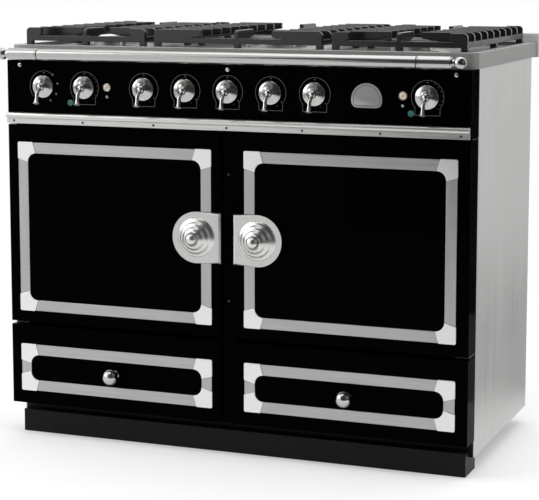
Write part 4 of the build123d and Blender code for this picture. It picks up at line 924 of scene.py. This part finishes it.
def badge_plate():
    """A bare plate with a round top and a dark line inside its edge."""
    low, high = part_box("badge_plate")
    x, half = (low.x + high.x) / 2, (high.x - low.x) / 2
    foot_r, least_r = 0.013, 0.002
    thick, soft = 0.0022, 0.0012
    line, line_inset, line_top = 0.0008, 0.0048, 0.0024

    def outline(inset):
        r, base = half - inset, low.z + inset
        corner = max(foot_r - inset, least_r)
        left = arc(x - r + corner, base + corner, corner, 180, 270, 5)
        right = arc(x + r - corner, base + corner, corner, 270, 360, 5)
        return [*left, *right, *arc(x, high.z - half, r, 0, 180, 32)]

    place = at(0, FACE_Y, 0)
    bm = bmesh.new()
    add_prism(bm, outline(0.0), place, thick, rounding=soft, steps=3)
    add_ribbon(bm, outline(line_inset), line, place, line_top, closed=True, material=1)
    make_piece("badge_blank", bm, "casing", "badge_metal", "groove_dark", stands_for="badge_plate")


class COOKER_OT_dials(bpy.types.Operator):
    """Print the dials round the knobs, and add lamps, marker discs and the plain badge plate"""

    bl_idname = "cooker.dials"
    bl_label = "Dials and lamps"

    def execute(self, context):
        sizes = context.scene.cooker.dial
        dial_prints(sizes)
        indicator_lamps(sizes)
        marker_discs(sizes)
        badge_plate()
        return {"FINISHED"}


def rail_ends(sizes, y, z, tube_r):
    """Sleeve, neck and ball at each end of the rail, with a dark seam and a post to the worktop."""
    ball_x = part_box("rail_ends")[1].x - sizes.ball_r
    end = ball_x - sizes.ball_r - sizes.neck
    start = end - sizes.sleeve
    r, soft = sizes.sleeve_r, 0.0006
    profile = [(0.0, start), (r - soft, start), (r, start + soft)]
    groove, groove_end = start + 0.002, start + 0.004
    profile += [(r, groove), (r - soft, groove + soft), (r - soft, groove_end - soft), (r, groove_end)]
    profile += [(r, end - soft), (r - soft, end)]
    collar, collar_top = sizes.neck_r + 0.0035, end + 0.003
    profile += [(collar, end), (collar, collar_top - 0.0008), (collar - 0.0005, collar_top)]
    profile += [(sizes.neck_r, collar_top), *ball(sizes.ball_r, sizes.neck_r, ball_x)]
    seam, seam_proud = 0.0018, 0.0002
    worktop_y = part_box("worktop")[0].y
    post_r, post_foot_r, reach = 0.008, 0.0095, worktop_y - y
    post = [(0.0, 0.0), (post_foot_r, 0.0), (post_foot_r, 0.002), (post_r, 0.0045)]
    post += [(post_r, reach), (0.0, reach)]
    bm = bmesh.new()
    for sign in SIDES.values():
        place = at(0, y, z, ALONG_X if sign > 0 else Matrix.Rotation(pi, 4, "Z") @ ALONG_X)
        add_turned(bm, profile, place, segments=64)
        add_turned(bm, drum(tube_r + seam_proud, start - seam, start), place, segments=64, material=1)
        add_turned(bm, post, at(sign * (start + end) / 2, worktop_y, z), segments=40)
    make_piece("rail_end_fittings", bm, "casing", "rail_polish", "groove_dark", stands_for="rail_ends")


def moulding(sizes):
    """A flat band with a groove and a half-round bead above it."""
    low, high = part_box("trim_moulding")
    band_t, band_z = sizes.band_t, low.z + sizes.band_h
    deep, half = FACE_Y - low.y - band_t, (high.z - band_z) / 2
    groove, soft = 0.0012, 0.0008
    bead = [(band_t + deep * u, band_z + half + half * v) for u, v in arc(0, 0, 1, -90, 90, 20)]
    section = [(0.0, low.z), (band_t - soft, low.z), (band_t, low.z + soft), (band_t, band_z - groove)]
    section += [(band_t - groove, band_z - groove), (band_t - groove, band_z), *bead, (0.0, high.z)]
    bm = bmesh.new()
    add_prism(bm, section, at(high.x, FACE_Y, 0, SECTION), high.x - low.x)
    # The moulding takes a lighter copy of the worktop steel, which paints light on it
    make_piece("moulding_bead", bm, "casing", "moulding_steel", stands_for="trim_moulding")


class COOKER_OT_rail(bpy.types.Operator):
    """Make the front rail with its end fittings, and the moulding below the panel"""

    bl_idname = "cooker.rail"
    bl_label = "Rail and moulding"

    def execute(self, context):
        sizes = context.scene.cooker.rail
        low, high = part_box("front_rail")
        y, z, radius = (low.y + high.y) / 2, (low.z + high.z) / 2, (high.z - low.z) / 2
        bm = bmesh.new()
        add_turned(bm, drum(radius, low.x, high.x), at(0, y, z, ALONG_X), segments=72)
        make_piece("front_rail_tube", bm, "casing", "rail_polish", stands_for="front_rail")
        rail_ends(sizes, y, z, radius)
        moulding(sizes)
        return {"FINISHED"}


def burner_spots():
    """Middle and head radius of each burner."""
    side, deep = middle("right_grate").x, middle("centre_grate").y
    reach, large, medium, small = 0.125, 0.062, 0.044, 0.034
    spots = [(0.0, deep, large)]
    for sign in SIDES.values():
        spots += [(sign * side, deep - reach, medium), (sign * side, deep + reach, small)]
    return spots


def on_wall(spots, y, way, size):
    """Points for grow at (x, z) spots of an upright face."""
    return [((x, y, z), way, size) for x, z in spots]


def corner_spots(low, high, dx, dz):
    return [(x, z) for x in (low.x + dx, high.x - dx) for z in (low.z + dz, high.z - dz)]


AHEAD, BEHIND = (0, -1, 0), (0, 1, 0)


def front_screws(tree, inputs, sizes, band_t):
    """Large screws of the panel, and small ones of moulding and stile."""
    low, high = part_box("control_panel")
    reach = high.x - sizes.panel_inset
    spots = [(x, high.z - sizes.panel_drop) for x in evenly(-reach, reach, 3)]
    points = on_wall(spots, FACE_Y, AHEAD, 1.0)
    grow("panel_screw_heads", tree, points, inputs, "polished_metal", "casing", stands_for="front_screws")
    moulding_inset, moulding_rise = 0.020, 0.0065
    reach = high.x - moulding_inset
    spots = [(x, low.z + moulding_rise) for x in evenly(-reach, reach, 7)]
    points = on_wall(spots, FACE_Y - band_t, AHEAD, sizes.small)
    door_low, door_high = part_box("left_door_panel")
    stile_drop, stile_rise = 0.093, 0.082
    spots = [(0.0, door_high.z - stile_drop), (0.0, door_low.z + stile_rise)]
    points += on_wall(spots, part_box("centre_stile")[0].y, AHEAD, sizes.small)
    grow("small_screw_heads", tree, points, inputs, "screw_dark", "casing", slot="polished_metal")


def back_screws(tree, inputs):
    """A row along each edge of the back panel, and four on the terminal box."""
    low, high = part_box("back_panel")
    row_inset, column_inset, size = 0.02, 0.018, 0.8
    rows = evenly(low.z + row_inset, high.z - row_inset, 7)
    columns = evenly(low.x + column_inset, high.x - column_inset, 9)
    spots = [(x, z) for x in (columns[0], columns[-1]) for z in rows]
    spots += [(x, z) for x in columns[1:-1] for z in (rows[0], rows[-1])]
    points = on_wall(spots, high.y, BEHIND, size)
    low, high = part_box("terminal_box")
    inset, lid_h, size = 0.01, 0.08, 0.7
    low.z = high.z - lid_h
    points += on_wall(corner_spots(low, high, inset, inset), high.y, BEHIND, size)
    grow("back_screw_heads", tree, points, inputs, "zinc_sheet", "casing", slot="zinc_sheet")


def inner_screws(tree, inputs, side):
    """Screws of a door's inner pan, and rivets between a drawer's box and its front."""
    size = 0.8
    low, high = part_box(f"{side}_door_liner")
    inset, corner_rise, rise = 0.02, 0.05, 0.015
    spots = corner_spots(low, high, inset, corner_rise)
    spots += [((low.x + high.x) / 2, z) for z in (low.z + rise, high.z - rise)]
    points = on_wall(spots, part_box(f"{side}_door_panel")[1].y, BEHIND, size)
    grow(f"{side}_liner_screws", tree, points, inputs, "zinc_sheet", f"{side}_door", slot="oven_enamel")
    low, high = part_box(f"{side}_drawer_box")
    wall, inset, rise, drop = 0.004, 0.15, 0.045, 0.055
    columns = [low.x + (high.x - low.x) * share for share in evenly(inset, 1 - inset, 3)]
    spots = [(x, z) for x in columns for z in (low.z + rise, high.z - drop)]
    points = on_wall(spots, low.y + wall, BEHIND, size)
    grow(f"{side}_drawer_rivets", tree, points, inputs, "zinc_sheet", f"{side}_drawer", slot="zinc_sheet")


def burners(sizes):
    """Dark flame ports round the burner heads, which paint the shade inside the holes, and two electrodes beside
    each.
    """
    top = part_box("burner_bases")[1].z
    port_drop, port_sunk, head_h = 0.0015, 0.0012, 0.015
    spots = burner_spots()
    points = [((x, y, top - port_drop), (0, 0, 1), radius - port_sunk) for x, y, radius in spots]
    inputs = {"Ports": sizes.ports}
    # The ports are dark blocks that paint the shade inside the holes
    grow("flame_ports", port_tree(), points, inputs, "groove_dark", "casing", slot="burner_metal")
    gap, foot_r, stem_r, neck_r, wire_r = 0.009, 0.0042, 0.003, 0.0024, 0.0009
    foot_h, bare, lap = 0.004, 0.004, 0.001
    bm = bmesh.new()
    for x, y, radius in spots:
        for turn, tall in ((-35, 0.017), (215, 0.014)):
            dx, dy = polar(radius + gap, turn)
            place = at(x + dx, y + dy, top - head_h, UPRIGHT)
            add_turned(bm, drum(foot_r, 0.0, foot_h), place, segments=20, material=1)
            neck = tall - bare
            low = foot_h - lap
            stem = [(0.0, low), (stem_r, low), (stem_r, neck - lap), (neck_r, neck), (0.0, neck)]
            add_turned(bm, stem, place, segments=20)
            add_turned(bm, drum(wire_r, neck - lap, tall), place, segments=12, material=1)
    make_piece("spark_electrodes", bm, "casing", "ceramic", "burner_metal", slot="burner_metal")


def louvres(sizes):
    """A hood over each vent slot of the back panel, apart from those behind the gas inlet."""
    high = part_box("back_panel")[1]
    mounts = {mount["name"]: Vector(mount["pos_m"]) for mount in frame["record"]["mounts"]}
    inlet = mounts["gas_inlet"]
    oven_x = middle("right_drawer_knob").x
    slot_w, first, pitch, rows, rise = 0.06, 0.060, 0.018, 9, 0.0085
    inlet_r, lap = 0.024, 0.004
    spots = []
    for sign in SIDES.values():
        for i in range(rows):
            z = high.z - first - i * pitch + rise
            for x in (sign * oven_x, sign * (oven_x + 2 * slot_w)):
                if abs(x - inlet.x) > slot_w / 2 or abs(z - inlet.z) > inlet_r:
                    spots.append((x, z))
    points = on_wall(spots, high.y, BEHIND, 1.0)
    inputs = {"Width": slot_w + lap, "Height": sizes.louvre_h, "Reach": 2 * sizes.louvre_out}
    grow("louvre_hoods", louvre_tree(), points, inputs, "zinc_sheet", "casing", slot="zinc_sheet")


class COOKER_OT_fixings(bpy.types.Operator):
    """Grow the screws, flame ports and louvres over points"""

    bl_idname = "cooker.fixings"
    bl_label = "Screws, ports and louvres"

    def execute(self, context):
        sizes = context.scene.cooker.fixing
        inputs = {"Radius": sizes.screw_r, "Height": sizes.screw_h, "Slot": sizes.slot}
        tree = screw_tree()
        front_screws(tree, inputs, sizes, context.scene.cooker.rail.band_t)
        back_screws(tree, inputs)
        for side in SIDES:
            inner_screws(tree, inputs, side)
        burners(sizes)
        louvres(sizes)
        return {"FINISHED"}


class COOKER_OT_hob(bpy.types.Operator):
    """Round the edges of the cast grates"""

    bl_idname = "cooker.hob"
    bl_label = "Grates"

    def execute(self, context):
        for side in ("left", "centre", "right"):
            softened(f"{side}_grate", f"{side}_grate", context.scene.cooker.fixing.grate_edge)
        return {"FINISHED"}


class COOKER_OT_ovens(bpy.types.Operator):
    """Add the oven lamps"""

    bl_idname = "cooker.ovens"
    bl_label = "Oven lamps"

    def execute(self, context):
        sunk, aside, above = 0.002, 0.155, 0.02
        back_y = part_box("right_oven_liner")[1].y - sunk
        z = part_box("fan_cover")[1].z + above
        oven_x = middle("right_drawer_knob").x
        rim = [(0.0, 0.0), (0.03, 0.0), (0.03, 0.003), (0.026, 0.006), (0.023, 0.005), (0.0, 0.005)]
        glass = button(0.0225, low=0.004, base=0.006, height=0.011, steps=8)
        bm = bmesh.new()
        for sign in SIDES.values():
            place = at(sign * oven_x + aside, back_y, z)
            add_turned(bm, rim, place, segments=40)
            add_turned(bm, glass, place, segments=40, material=1)
        make_piece("oven_lamps", bm, "casing", "fan_steel", "lamp_glass", slot="fan_steel")
        return {"FINISHED"}


def background_seen(tree):
    """1 for rays that see the background itself, in view or in a reflection."""
    path = node(tree, "ShaderNodeLightPath").outputs
    both = calc(tree, "MAXIMUM", path["Is Camera Ray"], path["Is Glossy Ray"])
    return calc(tree, "MAXIMUM", both, path["Is Transmission Ray"])


def paper_floor():
    """Pale paper that keeps the shadow near the cooker and is plain white further out."""
    dark, light, grain, lift, near, far, half = 0.86, 0.88, 40.0, 0.2, 0.9, 1.9, 20
    material = bpy.data.materials.new("floor_paper")
    material.use_nodes = True
    tree = material.node_tree
    tree.nodes.clear()
    place = node(tree, "ShaderNodeTexCoord").outputs["Object"]
    fibres = noise(tree, place, grain, detail=3.0)
    tint = blend(tree, fibres, (dark, dark, dark, 1.0), (light, light, light, 1.0))
    paper = node(tree, "ShaderNodeBsdfDiffuse", {"Color": tint}).outputs[0]
    seen = background_seen(tree)
    glow = node(tree, "ShaderNodeEmission", {"Strength": calc(tree, "MULTIPLY", seen, lift)}).outputs[0]
    both = node(tree, "ShaderNodeAddShader", {0: paper, 1: glow}).outputs[0]
    away = node(tree, "ShaderNodeVectorMath", {0: place}, operation="LENGTH").outputs["Value"]
    fade = calc(tree, "MULTIPLY", seen, ranged(tree, away, near, far))
    white = node(tree, "ShaderNodeEmission", {"Strength": 1.0}).outputs[0]
    faded = node(tree, "ShaderNodeMixShader", {0: fade, 1: both, 2: white}).outputs[0]
    node(tree, "ShaderNodeOutputMaterial", {"Surface": faded})
    mesh = bpy.data.meshes.new("floor")
    corners = [(-half, -half, 0), (half, -half, 0), (half, half, 0), (-half, half, 0)]
    mesh.from_pydata(corners, [], [(0, 1, 2, 3)])
    put_on_stage("floor", mesh, material)


def dark_walls():
    """Dark walls and a grey mat, which show only in reflections."""
    steps = 12
    row = steps + 1
    # Name, tone, range of turns from the front, and (distance, height) of the edges
    for name, tone, (start, end), edges in (
        ("front_wall", 0.06, (-22, -12), ((3.0, 1.5), (3.0, 2.6), (2.2, 3.3))),
        ("near_wall", 0.06, (-12, 14), ((3.0, 0.1), (3.0, 2.6), (2.2, 3.3))),
        ("right_wall", 0.02, (14, 118), ((2.6, 0.0), (2.6, 2.4), (1.4, 3.3), (0.5, 3.6))),
        ("back_flag", 0.02, (142, 149), ((1.75, 0.0), (1.75, 0.9))),
        ("side_mat", 0.38, (95, 172), ((0.8, 0.004), (2.4, 0.004))),
    ):
        material = finish(f"{name}_felt", (tone,) * 3, spread=0.1, metallic=0.0, rough=(0.8, 0.9), grain=5.0)
        points = [
            (radius * sin(radians(turn)), -radius * cos(radians(turn)), z)
            for radius, z in edges for turn in evenly(start, end, row)
        ]
        corners = [level * row + i for level in range(len(edges) - 1) for i in range(steps)]
        mesh = bpy.data.meshes.new(name)
        mesh.from_pydata(points, [], [(i, i + 1, i + 1 + row, i + row) for i in corners])
        wall = put_on_stage(name, mesh, material)
        wall.visible_camera = False
        wall.visible_diffuse = False
        wall.visible_shadow = False


def put_on_stage(name, mesh, material):
    mesh.materials.append(material)
    stood = bpy.data.objects.new(name, mesh)
    bpy.context.scene.collection.objects.link(stood)
    return stood


def white_world(scene, settings):
    """Even white light, which the background and reflections show as plain white."""
    world = bpy.data.worlds.new("studio")
    world.use_nodes = True
    tree = world.node_tree
    level = ranged(tree, background_seen(tree), 0.0, 1.0, settings.world, 1.0)
    feed(tree, tree.nodes["Background"], {"Color": (1.0, 1.0, 1.0, 1.0), "Strength": level})
    scene.world = world


def softbox(name, energy, size, place):
    """A square soft light that faces the middle of the cooker."""
    data = bpy.data.lights.new(name, "AREA")
    data.energy = energy
    data.size = size
    lamp = bpy.data.objects.new(name, data)
    lamp.location = place
    target = Vector((0.0, 0.0, 0.5))
    lamp.rotation_euler = (target - place).to_track_quat("-Z", "Y").to_euler()
    bpy.context.scene.collection.objects.link(lamp)


class COOKER_OT_stage(bpy.types.Operator):
    """Set up the floor, the light and the camera"""

    bl_idname = "cooker.stage"
    bl_label = "Stage"

    def execute(self, context):
        scene = context.scene
        settings = scene.cooker.stage
        scene.view_settings.view_transform = "Standard"
        paper_floor()
        dark_walls()
        white_world(scene, settings)
        softbox("key_light", settings.key, size=3.2, place=Vector((-3.5, -1.9, 2.6)))
        softbox("side_light", settings.side, size=1.8, place=Vector((3.4, -0.8, 2.2)))
        softbox("top_light", settings.top, size=3.6, place=Vector((0.2, 0.4, 3.4)))
        data = bpy.data.cameras.new("camera")
        data.sensor_width = 36.0
        data.lens = settings.lens
        data.shift_y = settings.shift
        camera = bpy.data.objects.new("camera", data)
        camera.location = settings.eye
        camera.rotation_euler = (pi / 2 - settings.pitch, 0.0, settings.yaw)
        scene.collection.objects.link(camera)
        scene.camera = camera
        return {"FINISHED"}


OPERATORS = (
    COOKER_OT_finishes, COOKER_OT_trim, COOKER_OT_handles, COOKER_OT_knobs, COOKER_OT_dials, COOKER_OT_rail,
    COOKER_OT_fixings, COOKER_OT_hob, COOKER_OT_ovens, COOKER_OT_stage,
)


class COOKER_PT_panel(bpy.types.Panel):
    """Steps that dress the cooker"""

    bl_label = "Range Cooker"
    bl_idname = "COOKER_PT_panel"
    bl_space_type = "VIEW_3D"
    bl_region_type = "UI"
    bl_category = "Cooker"

    def draw(self, context):
        for operator in OPERATORS:
            self.layout.operator(operator.bl_idname)


GROUPS = (
    CookerColours, TrimSizes, HandleSizes, KnobSizes, DialSizes, RailSizes, FixingSizes, StageSettings,
    CookerSettings,
)


def register():
    for kind in (*GROUPS, *OPERATORS, COOKER_PT_panel):
        bpy.utils.register_class(kind)
    bpy.types.Scene.cooker = group(CookerSettings, "Cooker", "Settings of the range cooker")


def unregister():
    del bpy.types.Scene.cooker
    for kind in (COOKER_PT_panel, *reversed(OPERATORS), *reversed(GROUPS)):
        bpy.utils.unregister_class(kind)


def main():
    register()
    for operator in OPERATORS:
        group_name, step = operator.bl_idname.split(".")
        getattr(getattr(bpy.ops, group_name), step)()


if __name__ == "__main__":
    main()
